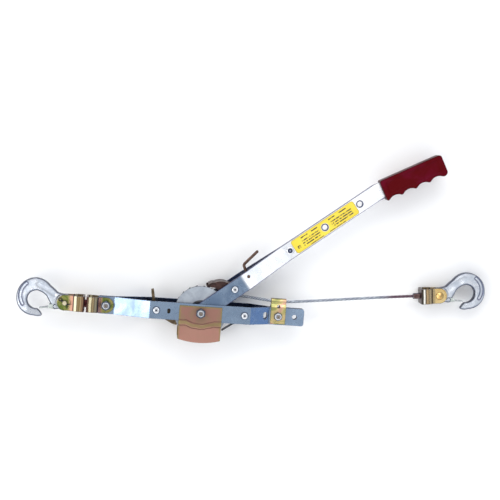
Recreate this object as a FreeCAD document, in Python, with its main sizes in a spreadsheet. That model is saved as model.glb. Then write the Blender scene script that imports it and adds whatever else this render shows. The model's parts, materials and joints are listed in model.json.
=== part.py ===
"""Cable puller (come along winch): a parametric FreeCAD document of its separate pieces.

Every piece is drawn about the drum's axle: +X runs along the frame towards the cable, +Y is the
side that the lever leaves from and +Z is the axle's direction. The Placement of each piece then
puts the whole puller, which lies on its side, on the floor plane with its box centred on the origin.
"""
import FreeCAD, Part
import math
import os
import Sketcher

DIMENSIONS = {
    # placing on the floor
    "shift_along": -90.017, "shift_across": -118.436, "shift_up": 32.0,
    # side plates
    "plate_width": 28.6, "plate_thick": 3.0, "plate_left": 169.0, "plate_right": 173.0,
    "narrow_inner": 3.0, "wide_inner": 21.0, "left_bend": 141.0, "left_flat": 83.0,
    "right_flat": 81.5, "right_bend": 114.0, "end_hole_at": 157.4, "end_hole_radius": 4.2,
    "clevis_bolt_at": 155.0, "stop_pin_at": 72.5, "frame_rivet_at": 72.5, "guide_bolt_at": 129.5,
    "plate_slot_at": 52.0,
    # axle and fasteners
    "axle_radius": 4.76, "axle_hole": 4.9, "axle_run": 4.82, "hex_flat": 14.3, "hex_height": 6.4,
    "rivet_shank": 4.0, "rivet_head": 6.3, "rivet_dome": 3.4, "hole_gap": 0.1,
    "small_bolt": 3.97, "small_hex_flat": 12.7, "small_hex_height": 4.6,
    # drum
    "core_radius": 19.8, "core_wall": 3.0, "half_winding": 11.6, "wheel_thick": 4.0,
    "disc_thick": 1.6, "front_disc_radius": 43.0, "rear_disc_radius": 39.0, "disc_opening": 20.0,
    "hub_radius": 7.0, "hub_half": 17.3, "web_half": 2.0, "winding_radius": 35.2,
    "teeth": 20, "tooth_tip": 40.5, "tooth_root": 36.0, "first_face": 80.6, "tooth_land": 3.0,
    # drum guard
    "guard_half": 35.0, "guard_top": 10.8, "guard_side": 45.0, "guard_depth": 50.0,
    "guard_sheet": 1.5, "guard_inside": 24.1, "guard_recess": 2.6, "joggle_mid": 23.0,
    "joggle_side": 17.7, "joggle_reach": 23.0, "joggle_band": 6.5,
    # lever
    "lever_angle": 38.0, "lever_width": 28.0, "lever_inner": 17.6, "lever_spread": 89.0,
    "lever_meet": 170.0, "lever_bend": 352.0, "grip_angle": -10.0, "tang_length": 112.0,
    "tang_top": 11.5, "tang_bottom": -10.5, "lever_rivet_at": 179.5, "second_hole_at": 249.0,
    "third_hole_at": 318.5, "lever_hole": 4.5, "pawl_pin_at": 68.1, "label_start": 187.0,
    "label_end": 311.0, "label_half": 12.2, "label_thick": 0.25,
    # moulded grip
    "grip_start": 10.5, "grip_end": 122.0, "grip_top": 16.4, "grip_peak": -19.5,
    "grip_pitch": 25.0, "grip_valley": 4.7, "grip_half": 12.0,
    # pawls
    "pawl_half": 15.2, "pawl_boss": 8.0, "pawl_slot": 5.5, "nose_inner": 12.0,
    # yokes
    "yoke_length": 32.0, "yoke_sheet": 3.0, "yoke_half_width": 12.7, "yoke_gap": 6.2,
    "yoke_flare": 12.0, "pin_radius": 3.9, "pin_tail": 5.6,
    "cotter_height": 2.6, "cotter_radius": 1.15, "cotter_turn": -35.0,
    # hooks
    "eye_radius": 12.7, "eye_half": 6.0, "bowl_out": 46.0, "bowl_up": 1.5, "bowl_radius": 15.2,
    "hook_half": 7.0, "hook_reach": 79.0,
    # the two chains of yoke and hook
    "anchor_pin_at": 222.0, "load_pin_along": 402.7, "load_pin_across": 50.5,
    "load_drop": -16.6, "load_angle": 5.8,
    # cable and its guide
    "cable_radius": 2.38, "guide_width": 25.0, "guide_sheet": 2.0, "guide_leg": 6.1,
    "guide_loop_at": 23.9, "guide_loop": 5.5, "guide_foot": 13.0,
}


class Size:
    """A number with the sheet's formula for it, so that what is worked out stays bound to its cells."""

    def __init__(self, number, formula=None):
        self.number = float(number)
        self.formula = formula or f"({float(number)})"

    def __add__(self, other):
        other = size(other)
        return Size(self.number + other.number, f"({self.formula} + {other.formula})")

    def __sub__(self, other):
        other = size(other)
        return Size(self.number - other.number, f"({self.formula} - {other.formula})")

    def __mul__(self, other):
        other = size(other)
        return Size(self.number * other.number, f"({self.formula} * {other.formula})")

    def __truediv__(self, other):
        other = size(other)
        return Size(self.number / other.number, f"({self.formula} / {other.formula})")

    def __rtruediv__(self, other):
        return size(other) / self

    def __neg__(self):
        return Size(-self.number, f"(-1 * {self.formula})")

    def __radd__(self, other):
        return size(other) + self

    def __rsub__(self, other):
        return size(other) - self

    def __rmul__(self, other):
        return size(other) * self


def size(value):
    return value if isinstance(value, Size) else Size(value)


def cosine(angle):
    angle = size(angle)
    return Size(math.cos(math.radians(angle.number)), f"cos({angle.formula} * 1deg)")


def sine(angle):
    angle = size(angle)
    return Size(math.sin(math.radians(angle.number)), f"sin({angle.formula} * 1deg)")


def tangent(angle):
    return sine(angle) / cosine(angle)


def root(value):
    return Size(math.sqrt(value.number), f"sqrt({value.formula})")


def bend_shift(thick, rise, run):
    """How far a bent strap's outer corner lies beyond its inner one, for a slope of rise over run."""
    return thick * (root(run * run + rise * rise) - run) / rise


def number(value):
    return size(value).number


def vector(x, y, z=0):
    return FreeCAD.Vector(number(x), number(y), number(z))


doc = FreeCAD.newDocument("CablePuller")
sheet = doc.addObject("Spreadsheet::Sheet", "Sizes")
for row, (alias, amount) in enumerate(DIMENSIONS.items(), 1):
    sheet.set(f"A{row}", alias)
    sheet.set(f"B{row}", str(amount))
    sheet.setAlias(f"B{row}", alias)
doc.recompute()


class Sheet:
    """Each cell of the sheet as a Size, by its alias."""

    def __getattr__(self, alias):
        return Size(float(sheet.get(alias)), f"Sizes.{alias}")


S = Sheet()
FRAME = (0, 0, 0, 0)
LEVER = (0, 0, 0, S.lever_angle)
ANCHOR = (-S.anchor_pin_at, 0, 0, 0)
LOAD = (S.load_pin_along, S.load_pin_across, S.load_drop, S.load_angle)
subparts = []


def bind(thing, name, value):
    """Set a property to a number, and bind it to the formula when it has one."""
    value = size(value)
    if "Sizes." in value.formula:
        thing.setExpression(name, value.formula)
    elif "." in name:
        thing.setExpression(name, str(value.number))
    else:
        setattr(thing, name, value.number)


def place(thing, where):
    """Turn a piece about +Z, then move it from the axle's frame to the floor's."""
    x, y, z, turn = where
    up = FreeCAD.Vector(0, 0, 1)
    thing.Placement = FreeCAD.Placement(FreeCAD.Vector(), FreeCAD.Rotation(up, number(turn)))
    bind(thing, "Placement.Base.x", S.shift_along + x)
    bind(thing, "Placement.Base.y", S.shift_across + y)
    bind(thing, "Placement.Base.z", S.shift_up + z)
    if number(turn):
        bind(thing, "Placement.Rotation.Angle", turn)


def new_body(label, where):
    body = doc.addObject("PartDesign::Body", "Body")
    body.Label = label
    place(body, where)
    subparts.append(body)
    return body


def new_feature(label, where, shape):
    """A piece whose solid comes from Part's own functions."""
    feature = doc.addObject("Part::Feature", "Solid")
    feature.Label = label
    feature.Shape = shape
    place(feature, where)
    subparts.append(feature)
    return feature


def fix(sketch, edge, point, x, y):
    """Tie one point of a sketch to its place: on an axis, or at a distance from the origin."""
    for kind, value, axis in (("DistanceX", size(x), -2), ("DistanceY", size(y), -1)):
        if abs(value.number) < 1e-9:
            sketch.addConstraint(Sketcher.Constraint("PointOnObject", edge, point, axis))
            continue
        made = sketch.addConstraint(Sketcher.Constraint(kind, -1, 1, edge, point, value.number))
        if "Sizes." in value.formula:
            sketch.setExpression(f"Constraints[{made}]", value.formula)


def new_sketch(body, plane, offset=0):
    sketch = body.newObject("Sketcher::SketchObject", "Sketch")
    base = next(f for f in body.Origin.OriginFeatures if f.Role == plane)
    sketch.AttachmentSupport = [(base, "")]
    sketch.MapMode = "FlatFace"
    if number(offset):
        bind(sketch, "AttachmentOffset.Base.z", offset)
    return sketch


def outline(body, plane, corners, offset=0):
    """A closed sketch. A corner is (x, y), or (x, y, mx, my) where an arc through (mx, my) leads to it."""
    sketch = new_sketch(body, plane, offset)
    count = len(corners)
    ends = []
    for i, corner in enumerate(corners):
        start, end = vector(*corners[i - 1][:2]), vector(*corner[:2])
        clockwise = False
        if len(corner) == 4:
            middle = vector(*corner[2:])
            clockwise = (middle - start).cross(end - middle).z < 0
            arc = Part.Arc(end, middle, start) if clockwise else Part.Arc(start, middle, end)
            sketch.addGeometry(arc)
        else:
            sketch.addGeometry(Part.LineSegment(start, end))
        ends.append((2, 1) if clockwise else (1, 2))
    for i in range(count):
        after = (i + 1) % count
        link = Sketcher.Constraint("Coincident", i, ends[i][1], after, ends[after][0])
        sketch.addConstraint(link)
    for i, corner in enumerate(corners):
        fix(sketch, i, ends[i][1], *corner[:2])
    return sketch


def circles(body, plane, rounds, offset=0):
    """A sketch of circles, each (x, y, radius)."""
    sketch = new_sketch(body, plane, offset)
    for i, (x, y, radius) in enumerate(rounds):
        up = FreeCAD.Vector(0, 0, 1)
        sketch.addGeometry(Part.Circle(vector(x, y), up, number(radius)))
        made = sketch.addConstraint(Sketcher.Constraint("Radius", i, number(radius)))
        if "Sizes." in size(radius).formula:
            sketch.setExpression(f"Constraints[{made}]", size(radius).formula)
        fix(sketch, i, 3, x, y)
    return sketch


def pad(body, sketch, length, both_ways=False, back=False):
    made = body.newObject("PartDesign::Pad", "Pad")
    made.Profile = sketch
    bind(made, "Length", length)
    made.Midplane = both_ways
    made.Reversed = back
    return made


def pocket(body, sketch, length=None, back=False):
    """Cut right through both ways, or to a length on one side; the volume has to shrink."""
    doc.recompute()
    before = body.Shape.Volume
    made = body.newObject("PartDesign::Pocket", "Pocket")
    made.Profile = sketch
    if length is None:
        made.Type = "ThroughAll"
        made.Midplane = True
    else:
        bind(made, "Length", length)
        made.Reversed = back
    doc.recompute()
    if not body.Shape.Volume < before - 1e-3:
        raise RuntimeError(f"a pocket of {body.Label} cuts nothing")
    return made


def turned(label, where, corners, plane="XZ_Plane", axis="V_Axis"):
    """A piece turned on a lathe: an outline of (radius, height) about the sketch's vertical axis."""
    body = new_body(label, where)
    sketch = outline(body, plane, corners)
    made = body.newObject("PartDesign::Revolution", "Revolution")
    made.Profile = sketch
    made.ReferenceAxis = (sketch, [axis])
    made.Angle = 360
    return body


def rounded(body, radius, chosen):
    """Fillet the edges of the body's shape that the test picks by their middle and their direction."""
    doc.recompute()
    base = body.Tip
    names = []
    for i, edge in enumerate(base.Shape.Edges, 1):
        if edge.Length > 1e-6 and chosen(edge.CenterOfMass, edge):
            names.append(f"Edge{i}")
    if not names:
        raise RuntimeError(f"no edge of {body.Label} to round")
    made = body.newObject("PartDesign::Fillet", "Fillet")
    made.Base = (base, names)
    bind(made, "Radius", radius)
    return made


def upright(edge):
    """Whether an edge runs along Z."""
    ends = [v.Point for v in edge.Vertexes]
    if len(ends) != 2:
        return False
    run = ends[1] - ends[0]
    return abs(run.x) < 1e-6 and abs(run.y) < 1e-6


def wire(points):
    """A closed wire through points, where a point of four numbers is reached by an arc."""
    edges = []
    for i, point in enumerate(points):
        start, end = vector(*points[i - 1][:2]), vector(*point[:2])
        if len(point) == 4:
            edges.append(Part.Arc(start, vector(*point[2:]), end).toShape())
        else:
            edges.append(Part.LineSegment(start, end).toShape())
    return Part.Wire(edges)


def slab(points, low, high):
    """The solid between two heights inside a closed outline."""
    face = Part.Face(wire(points))
    face.translate(FreeCAD.Vector(0, 0, number(low)))
    return face.extrude(FreeCAD.Vector(0, 0, number(high) - number(low)))


def cylinder(radius, low, high, x=0, y=0):
    start = vector(x, y, low)
    return Part.makeCylinder(number(radius), number(high) - number(low), start)


# ---------------------------------------------------------------- frame


def side_plate(label, side):
    """A strap bent twice at each end: wide apart at the drum, close together at the ends."""
    body = new_body(label, FRAME)
    rise = S.wide_inner - S.narrow_inner
    left_shift = bend_shift(S.plate_thick, rise, S.left_bend - S.left_flat)
    right_shift = bend_shift(S.plate_thick, rise, S.right_bend - S.right_flat)
    inner = [
        (-S.plate_left, S.narrow_inner), (-S.left_bend, S.narrow_inner),
        (-S.left_flat, S.narrow_inner + rise), (S.right_flat, S.narrow_inner + rise),
        (S.right_bend, S.narrow_inner), (S.plate_right, S.narrow_inner),
    ]
    far = S.narrow_inner + S.plate_thick
    outer = [
        (S.plate_right, far), (S.right_bend + right_shift, far),
        (S.right_flat + right_shift, far + rise), (-S.left_flat - left_shift, far + rise),
        (-S.left_bend - left_shift, far), (-S.plate_left, far),
    ]
    bent = [(x, height * side) for x, height in inner + outer]
    pad(body, outline(body, "XZ_Plane", bent), S.plate_width, both_ways=True)
    ends = (-number(S.plate_left), number(S.plate_right))
    rounded(body, 4, lambda middle, edge: upright(edge) and min(
        abs(middle.x - end) for end in ends) < 0.01)
    pocket(body, circles(body, "XY_Plane", [
        (0, 0, S.axle_hole),
        (-S.clevis_bolt_at, 0, S.axle_hole),
        (-S.stop_pin_at, 0, S.rivet_shank + S.hole_gap),
        (S.frame_rivet_at, 0, S.rivet_shank + S.hole_gap),
        (S.guide_bolt_at, 0, S.small_bolt + S.hole_gap),
        (S.end_hole_at, 0, S.end_hole_radius),
    ]))
    pocket(body, oval(body, -S.plate_slot_at, 2.5, 1.6))
    pocket(body, oval(body, 108, 3.2, 3.0))
    return body


def oval(body, x, radius, half_straight):
    """The outline of an upright slot: two half circles joined by straight sides."""
    x, radius, half = size(x), size(radius), size(half_straight)
    return outline(body, "XY_Plane", [
        (x + radius, -half), (x + radius, half),
        (x - radius, half, x, half + radius), (x - radius, -half),
        (x + radius, -half, x, -half - radius),
    ][1:])


def guard_region(rise):
    """Everything below the guard's curved joggle line moved up by rise, as a closed outline."""
    side, mid = rise - S.joggle_side, rise - S.joggle_mid
    far = S.guard_half + 10
    low = -S.guard_depth - 10
    return [
        (-far, low), (far, low), (far, side), (S.joggle_reach, side),
        (-S.joggle_reach, side, 0, mid), (-far, side),
    ]


def drum_guard():
    """A U of thin sheet under the drum. Its cheeks lie on the side plates, and step in below them."""
    sheet_thick, half = S.guard_sheet, S.guard_half
    out, inside = S.guard_inside + S.guard_sheet, S.guard_inside
    block = slab([
        (-half, -S.guard_side), (half, -S.guard_side, 0, -S.guard_depth),
        (half, S.guard_top), (-half, S.guard_top),
    ], -out, out)
    hollow = slab([
        (-half - 5, -S.guard_side + sheet_thick), (half + 5, -S.guard_side + sheet_thick,
         0, -S.guard_depth + sheet_thick), (half + 5, S.guard_top + 5), (-half - 5, S.guard_top + 5),
    ], -inside, inside)
    lower, upper = guard_region(-S.joggle_band / 2), guard_region(S.joggle_band / 2)
    for side in (1, -1):
        step = loft(lower, upper, (out - S.guard_recess) * side, (out + 0.05) * side)
        block = block.cut(step)
        filled = loft(lower, upper, (inside - S.guard_recess) * side, (inside + 0.05) * side)
        hollow = hollow.cut(filled)
    shape = block.cut(hollow).cut(cylinder(S.axle_hole, -30, 30))
    return new_feature("drum_guard", FRAME, shape.removeSplitter())


def loft(lower, upper, low, high):
    """A ruled solid between two outlines at two heights."""
    wires = []
    for points, height in ((lower, low), (upper, high)):
        made = wire(points)
        made.translate(FreeCAD.Vector(0, 0, number(height)))
        wires.append(made)
    return Part.makeLoft(wires, True, True)


def cable_guide():
    """A strap folded over the cable: a round loop at the top, a pinched neck and two legs."""
    body = new_body("cable_guide", (S.guide_bolt_at, 0, 0, 0))
    leg, thick, top = S.guide_leg, S.guide_sheet, S.guide_loop_at
    for side in (1, -1):
        strip = [
            (-S.guide_foot, leg * side), (14.6, leg * side), (19.6, 1.8 * side),
            (21.6, 2.9 * side), (22.2, 4.6 * side), (20.6, 4.4 * side),
            (15.4, (leg + thick) * side), (-S.guide_foot, (leg + thick) * side),
        ]
        pad(body, outline(body, "YZ_Plane", strip), S.guide_width, both_ways=True)
    pad(body, circles(body, "YZ_Plane", [(top, 0, S.guide_loop)]), S.guide_width, both_ways=True)
    pocket(body, circles(body, "YZ_Plane", [(top, 0, S.guide_loop - thick)]))
    mouth = [(18, -1.6), (top - 2, -1.6), (top - 2, 1.6), (18, 1.6)]
    pocket(body, outline(body, "YZ_Plane", mouth))
    pocket(body, circles(body, "XY_Plane", [(0, 0, S.small_bolt + S.hole_gap), (0, 16.4, 2.5)]))
    return body


def rivet(label, where, half, radius=S.rivet_shank, head=S.rivet_head, dome=S.rivet_dome):
    """A shank with a low dome at each end, along Z."""
    half, top = size(half), size(half) + dome
    flat = size(head) * 0.16
    return turned(label, where, [
        (0, -top), (flat, -top), (head, -half, head * 0.74, -half - dome * 0.64), (radius, -half),
        (radius, half), (head, half), (flat, top, head * 0.74, half + dome * 0.64), (0, top),
    ])


def nut(label, where, flat, low, height, bore):
    """A hexagon with chamfered corners and a plain bore, along Z."""
    body = new_body(label, where)
    reach = flat / 2 / cosine(30)
    corners = [(reach * cosine(60 * i + 30), reach * sine(60 * i + 30)) for i in range(6)]
    pad(body, outline(body, "XY_Plane", corners, low), height)
    pocket(body, circles(body, "XY_Plane", [(0, 0, bore)]))
    chamfer(body, flat, size(low) + height, -1)
    return body


def chamfer(body, flat, face, way):
    """Turn the hexagon's corners off at one face; way points back into the hexagon."""
    reach = flat / 2
    face = size(face)
    sketch = outline(body, "XZ_Plane", [
        (reach * 0.97, face - way * 0.4), (reach * 1.3, face - way * 0.4),
        (reach * 1.3, face + way * reach * 0.2),
    ])
    doc.recompute()
    before = body.Shape.Volume
    made = body.newObject("PartDesign::Groove", "Groove")
    made.Profile = sketch
    made.ReferenceAxis = (sketch, ["V_Axis"])
    made.Angle = 360
    doc.recompute()
    if not body.Shape.Volume < before - 1e-3:
        raise RuntimeError(f"a chamfer of {body.Label} cuts nothing")


def hex_bolt(label, where, flat, head_face, head_height, radius, end):
    """A bolt along Z: its hexagon reaches down from head_face, and its shank up to end."""
    body = new_body(label, where)
    reach = flat / 2 / cosine(30)
    corners = [(reach * cosine(60 * i + 30), reach * sine(60 * i + 30)) for i in range(6)]
    head_face, low = size(head_face), size(head_face) - head_height
    pad(body, outline(body, "XY_Plane", corners, low), head_height)
    chamfer(body, flat, low, 1)
    length = size(end) - head_face
    pad(body, circles(body, "XY_Plane", [(0, 0, radius)], head_face), length)
    rounded(body, 0.6, lambda middle, edge: abs(middle.z - number(end)) < 0.01)
    return body


def build_frame():
    side_plate("front_side_plate", 1)
    side_plate("rear_side_plate", -1)
    drum_guard()
    cable_guide()
    outside = S.guard_inside + S.guard_sheet
    hex_bolt("axle_bolt", FRAME, S.hex_flat, -outside, S.hex_height, S.axle_radius, outside + 9.5)
    nut("axle_nut", FRAME, S.hex_flat, outside, S.hex_height + 1, S.axle_radius)
    plates = S.wide_inner + S.plate_thick
    rivet("stop_pawl_pin", (-S.stop_pin_at, 0, 0, 0), plates)
    rivet("frame_rivet", (S.frame_rivet_at, 0, 0, 0), plates)
    spacer("frame_spacer", (S.frame_rivet_at, 0, 0, 0), S.rivet_shank, 6.5, S.wide_inner)
    leg = S.guide_leg + S.guide_sheet
    at_guide = (S.guide_bolt_at, 0, 0, 0)
    hex_bolt("guide_bolt", at_guide, S.small_hex_flat, -leg, S.small_hex_height, S.small_bolt,
             leg + 6.6)
    nut("guide_nut", at_guide, S.small_hex_flat, leg, S.small_hex_height, S.small_bolt)
    spacer("guide_spacer", at_guide, S.small_bolt, 8, S.narrow_inner)
    arms = S.yoke_gap + S.yoke_sheet
    at_clevis = (-S.clevis_bolt_at, 0, 0, 0)
    hex_bolt("clevis_bolt", at_clevis, S.hex_flat, -arms, S.hex_height, S.axle_radius, arms + 8)
    nut("clevis_nut", at_clevis, S.hex_flat, arms, S.hex_height, S.axle_radius)
    spacer("clevis_spacer", at_clevis, S.axle_radius, 9.5, S.narrow_inner)
    drag_spring()
    coil_spring("stop_pawl_spring", (-S.stop_pin_at, 0, 0, 0), 3.2, 10.8,
                (3.2, 5.0), (2.4, 18.0), 7.0)


def spacer(label, where, bore, radius, half):
    """A plain tube along Z."""
    half = size(half)
    bore = size(bore) + 0.05
    return turned(label, where, [(bore, -half), (radius, -half), (radius, half), (bore, half)])


def drag_spring():
    """A leaf that leaves the frame rivet's spacer and follows the drum's rim."""
    body = new_body("drag_spring", FRAME)
    x = S.frame_rivet_at
    leaf = [
        (x - 1.6, -7.0), (56, -18.2, 65.6, -13.6), (38.2, -30.6), (37.5, -29.5),
        (55.2, -17.0), (x - 2.9, -6.5, 64.4, -12.6),
    ]
    pad(body, outline(body, "XY_Plane", leaf), 12, both_ways=True)
    return body


def coil_spring(label, where, low, high, foot, tip, leg_height):
    """A torsion spring on a pin: the coil as a plain sleeve, with one straight leg of wire."""
    sleeve = cylinder(6.2, low, high).cut(cylinder(S.rivet_shank + 0.35, low, high))
    start, end = vector(*foot, leg_height), vector(*tip, leg_height)
    run = end - start
    leg = Part.makeCylinder(0.8, run.Length, start, run)
    return new_feature(label, where, sleeve.fuse(leg))


# ---------------------------------------------------------------- drum


def ratchet_wheel(label, low):
    """A ring with sawtooth teeth, whose steep faces look clockwise."""
    body = new_body(label, FRAME)
    pad(body, circles(body, "XY_Plane", [(0, 0, S.tooth_root)], low), S.wheel_thick)
    pitch = 360 / S.teeth
    start, end = S.first_face, S.first_face + pitch
    land = start + S.tooth_land
    inner = S.tooth_root - 3
    tooth = [
        (inner * cosine(start), inner * sine(start)),
        (S.tooth_tip * cosine(start), S.tooth_tip * sine(start)),
        (S.tooth_tip * cosine(land), S.tooth_tip * sine(land)),
        ((S.tooth_root - 0.05) * cosine(end), (S.tooth_root - 0.05) * sine(end)),
        (inner * cosine(end), inner * sine(end)),
    ]
    first = pad(body, outline(body, "XY_Plane", tooth, low), S.wheel_thick)
    ring = body.newObject("PartDesign::PolarPattern", "PolarPattern")
    ring.Originals = [first]
    ring.Axis = (next(f for f in body.Origin.OriginFeatures if f.Role == "Z_Axis"), [""])
    ring.Angle = 360
    ring.Occurrences = int(number(S.teeth))
    body.Tip = ring
    bore = S.core_radius - S.core_wall
    pocket(body, circles(body, "XY_Plane", [(0, 0, bore)]))
    return body


def drum_disc(label, radius, low):
    """A flat cover on a ratchet wheel."""
    body = new_body(label, FRAME)
    pad(body, circles(body, "XY_Plane", [(0, 0, radius)], low), S.disc_thick)
    pocket(body, circles(body, "XY_Plane", [(0, 0, S.disc_opening)]))
    return body


def build_drum():
    half = S.half_winding
    inner = S.core_radius - S.core_wall
    turned("drum_core", FRAME, [
        (S.hub_radius, -S.web_half), (inner, -S.web_half), (inner, -half), (S.core_radius, -half),
        (S.core_radius, half), (inner, half), (inner, S.web_half), (S.hub_radius, S.web_half),
    ])
    turned("drum_hub", FRAME, [
        (S.axle_run, -S.hub_half), (S.hub_radius, -S.hub_half), (S.hub_radius, S.hub_half),
        (S.axle_run, S.hub_half),
    ])
    ratchet_wheel("front_ratchet_wheel", half)
    ratchet_wheel("rear_ratchet_wheel", -half - S.wheel_thick)
    drum_disc("front_disc", S.front_disc_radius, half + S.wheel_thick)
    drum_disc("rear_disc", S.rear_disc_radius, -half - S.wheel_thick - S.disc_thick)
    turned("cable_winding", FRAME, [
        (S.core_radius, -half), (S.winding_radius, -half), (S.winding_radius, half),
        (S.core_radius, half),
    ])


# ---------------------------------------------------------------- lever


def along_grip(run, across):
    """A point of the grip's own frame, which starts at the lever's bend and is turned from it."""
    turn = S.grip_angle
    x = S.lever_bend + run * cosine(turn) - across * sine(turn)
    y = run * sine(turn) + across * cosine(turn)
    return x, y


def lever_strap(label, side):
    """A flat strap, set out from the middle at the drum, which closes on its partner further up."""
    body = new_body(label, LEVER)
    half = S.lever_width / 2
    tang = [
        along_grip(size(14), half), along_grip(size(18), S.tang_top),
        along_grip(S.tang_length, S.tang_top), along_grip(S.tang_length, S.tang_bottom),
        along_grip(size(18), S.tang_bottom), along_grip(size(14), -half),
    ]
    lift = half * tangent(S.grip_angle / 2)
    plan = [(-half, -half), (-half, half), (S.lever_bend - lift, half)] + tang
    plan.append((S.lever_bend + lift, -half))
    height = S.lever_inner + S.plate_thick
    pad(body, outline(body, "XY_Plane", plan), height, back=side < 0)
    rise = S.lever_inner
    shift = bend_shift(S.plate_thick, rise, S.lever_meet - S.lever_spread)
    far = S.lever_bend + 140
    under = [
        (-30, 0), (S.lever_meet, 0), (S.lever_spread, rise), (-30, rise),
    ]
    over = [
        (-30, rise + S.plate_thick), (S.lever_spread + shift, rise + S.plate_thick),
        (S.lever_meet + shift, S.plate_thick), (far, S.plate_thick), (far, 40), (-30, 40),
    ]
    for region in (under, over):
        corners = [(x, size(y) * side) for x, y in region]
        pocket(body, outline(body, "XZ_Plane", corners))
    rounded(body, half - 0.02, lambda middle, edge: upright(edge) and abs(
        middle.x + number(half)) < 0.01)
    pocket(body, circles(body, "XY_Plane", [
        (0, 0, S.axle_run),
        (S.pawl_pin_at, 0, S.rivet_shank + S.hole_gap),
        (S.lever_rivet_at, 0, S.rivet_shank + S.hole_gap),
        (S.second_hole_at, 0, S.lever_hole),
        (S.third_hole_at, 0, S.lever_hole),
        (98.5, 5.0, 2.55),
    ]))
    return body


def grip():
    """The moulded handle: straight back, four finger valleys, and a cavity for the lever's tangs."""
    start, top, peak = S.grip_start, S.grip_top, S.grip_peak
    first = start + 2.4
    flank, lift = 1.6, 0.58
    corners = [
        along_grip(start, top - 3) + along_grip(start + 0.9, top - 0.9),
        along_grip(start, peak + 3.2),
        along_grip(first + flank, peak + lift) + along_grip(start + 1.3, peak + 0.5),
    ]
    for i in range(4):
        low, high = first + S.grip_pitch * i, first + S.grip_pitch * (i + 1)
        valley = along_grip((low + high) / 2, peak + S.grip_valley)
        corners.append(along_grip(high - flank, peak + lift) + valley)
        if i < 3:
            corners.append(along_grip(high + flank, peak + lift) + along_grip(high, peak))
    corners += [
        along_grip(S.grip_end, peak + 5) + along_grip(high + 5.0, peak + 0.4),
        along_grip(S.grip_end, top - 6),
        along_grip(S.grip_end - 5, top) + along_grip(S.grip_end - 1.4, top - 1.5),
        along_grip(start + 3, top),
    ]
    shape = slab(corners, -S.grip_half, S.grip_half)
    rims = [e for e in shape.Edges if abs(abs(e.CenterOfMass.z) - number(S.grip_half)) < 0.01]
    shape = shape.makeFillet(2.2, rims)
    half, clear, thick = S.lever_width / 2, 0.05, S.plate_thick + 0.05
    mouth = [
        along_grip(start - 8, half + clear), along_grip(size(14 + clear), half + clear),
        along_grip(size(18 + clear), S.tang_top + clear),
        along_grip(S.tang_length + clear, S.tang_top + clear),
        along_grip(S.tang_length + clear, S.tang_bottom - clear),
        along_grip(size(18 + clear), S.tang_bottom - clear),
        along_grip(size(14 + clear), -half - clear), along_grip(start - 8, -half - clear),
    ]
    shape = shape.cut(slab(mouth, -thick, thick))
    panel = [
        along_grip(start + 8, -9.5), along_grip(S.grip_end - 8, -9.5),
        along_grip(S.grip_end - 8, 9.5), along_grip(start + 8, 9.5),
    ]
    for side in (1, -1):
        face = S.grip_half * side
        shape = shape.cut(slab(panel, face - 0.5, face + 0.5))
    return new_feature("grip", LEVER, shape)


def label_plate():
    """A thin sticker with round corners, cut clear round the lever's middle hole."""
    body = new_body("lever_label", LEVER)
    half = S.label_half
    corners = [
        (S.label_start, -half), (S.label_end, -half), (S.label_end, half), (S.label_start, half),
    ]
    pad(body, outline(body, "XY_Plane", corners, S.plate_thick), S.label_thick)
    rounded(body, 3, lambda middle, edge: upright(edge))
    pocket(body, circles(body, "XY_Plane", [(S.second_hole_at, 0, 7)]))
    return body


def trip_rod():
    """Bent round wire: a cross bar through both straps, then up and along above the lever."""
    radius = 2.4
    bar = cylinder(radius, -18.6, 18.6, 98.5, 5.0)
    corners = [vector(98.5, 5.0), vector(102.3, 23.4), vector(133, 28.9)]
    bend = 5.0
    first = (corners[0] - corners[1]).normalize()
    second = (corners[2] - corners[1]).normalize()
    half_turn = (math.pi - first.getAngle(second)) / 2
    reach = bend * math.tan(half_turn)
    enter, leave = corners[1] + first * reach, corners[1] + second * reach
    inward = (first + second).normalize()
    middle = corners[1] + inward * (bend / math.cos(half_turn) - bend)
    path = Part.Wire([
        Part.LineSegment(corners[0], enter).toShape(), Part.Arc(enter, middle, leave).toShape(),
        Part.LineSegment(leave, corners[2]).toShape(),
    ])
    ring = Part.Wire(Part.Circle(corners[0], enter - corners[0], radius).toShape())
    rod = path.makePipeShell([ring], True, False)
    tip = Part.makeSphere(radius, corners[2])
    return new_feature("trip_rod", LEVER, bar.fuse([rod, tip]))


def pawl(label, where, corners, notch, cut_low, cut_high, extras=()):
    """A block that spans both ratchet wheels, with two boss ends and a clear middle at its nose."""
    half = number(S.pawl_half)
    shape = slab(corners, -half, half).fuse(cylinder(S.pawl_boss, -half, half))
    for extra in extras:
        shape = shape.fuse(extra)
    shape = shape.cut(cylinder(S.pawl_boss + 0.6, cut_low, cut_high))
    shape = shape.cut(slab(notch, -S.nose_inner, S.nose_inner))
    shape = shape.cut(cylinder(S.rivet_shank + 0.06, -half - 1, half + 1))
    return new_feature(label, where, shape.removeSplitter())


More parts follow.
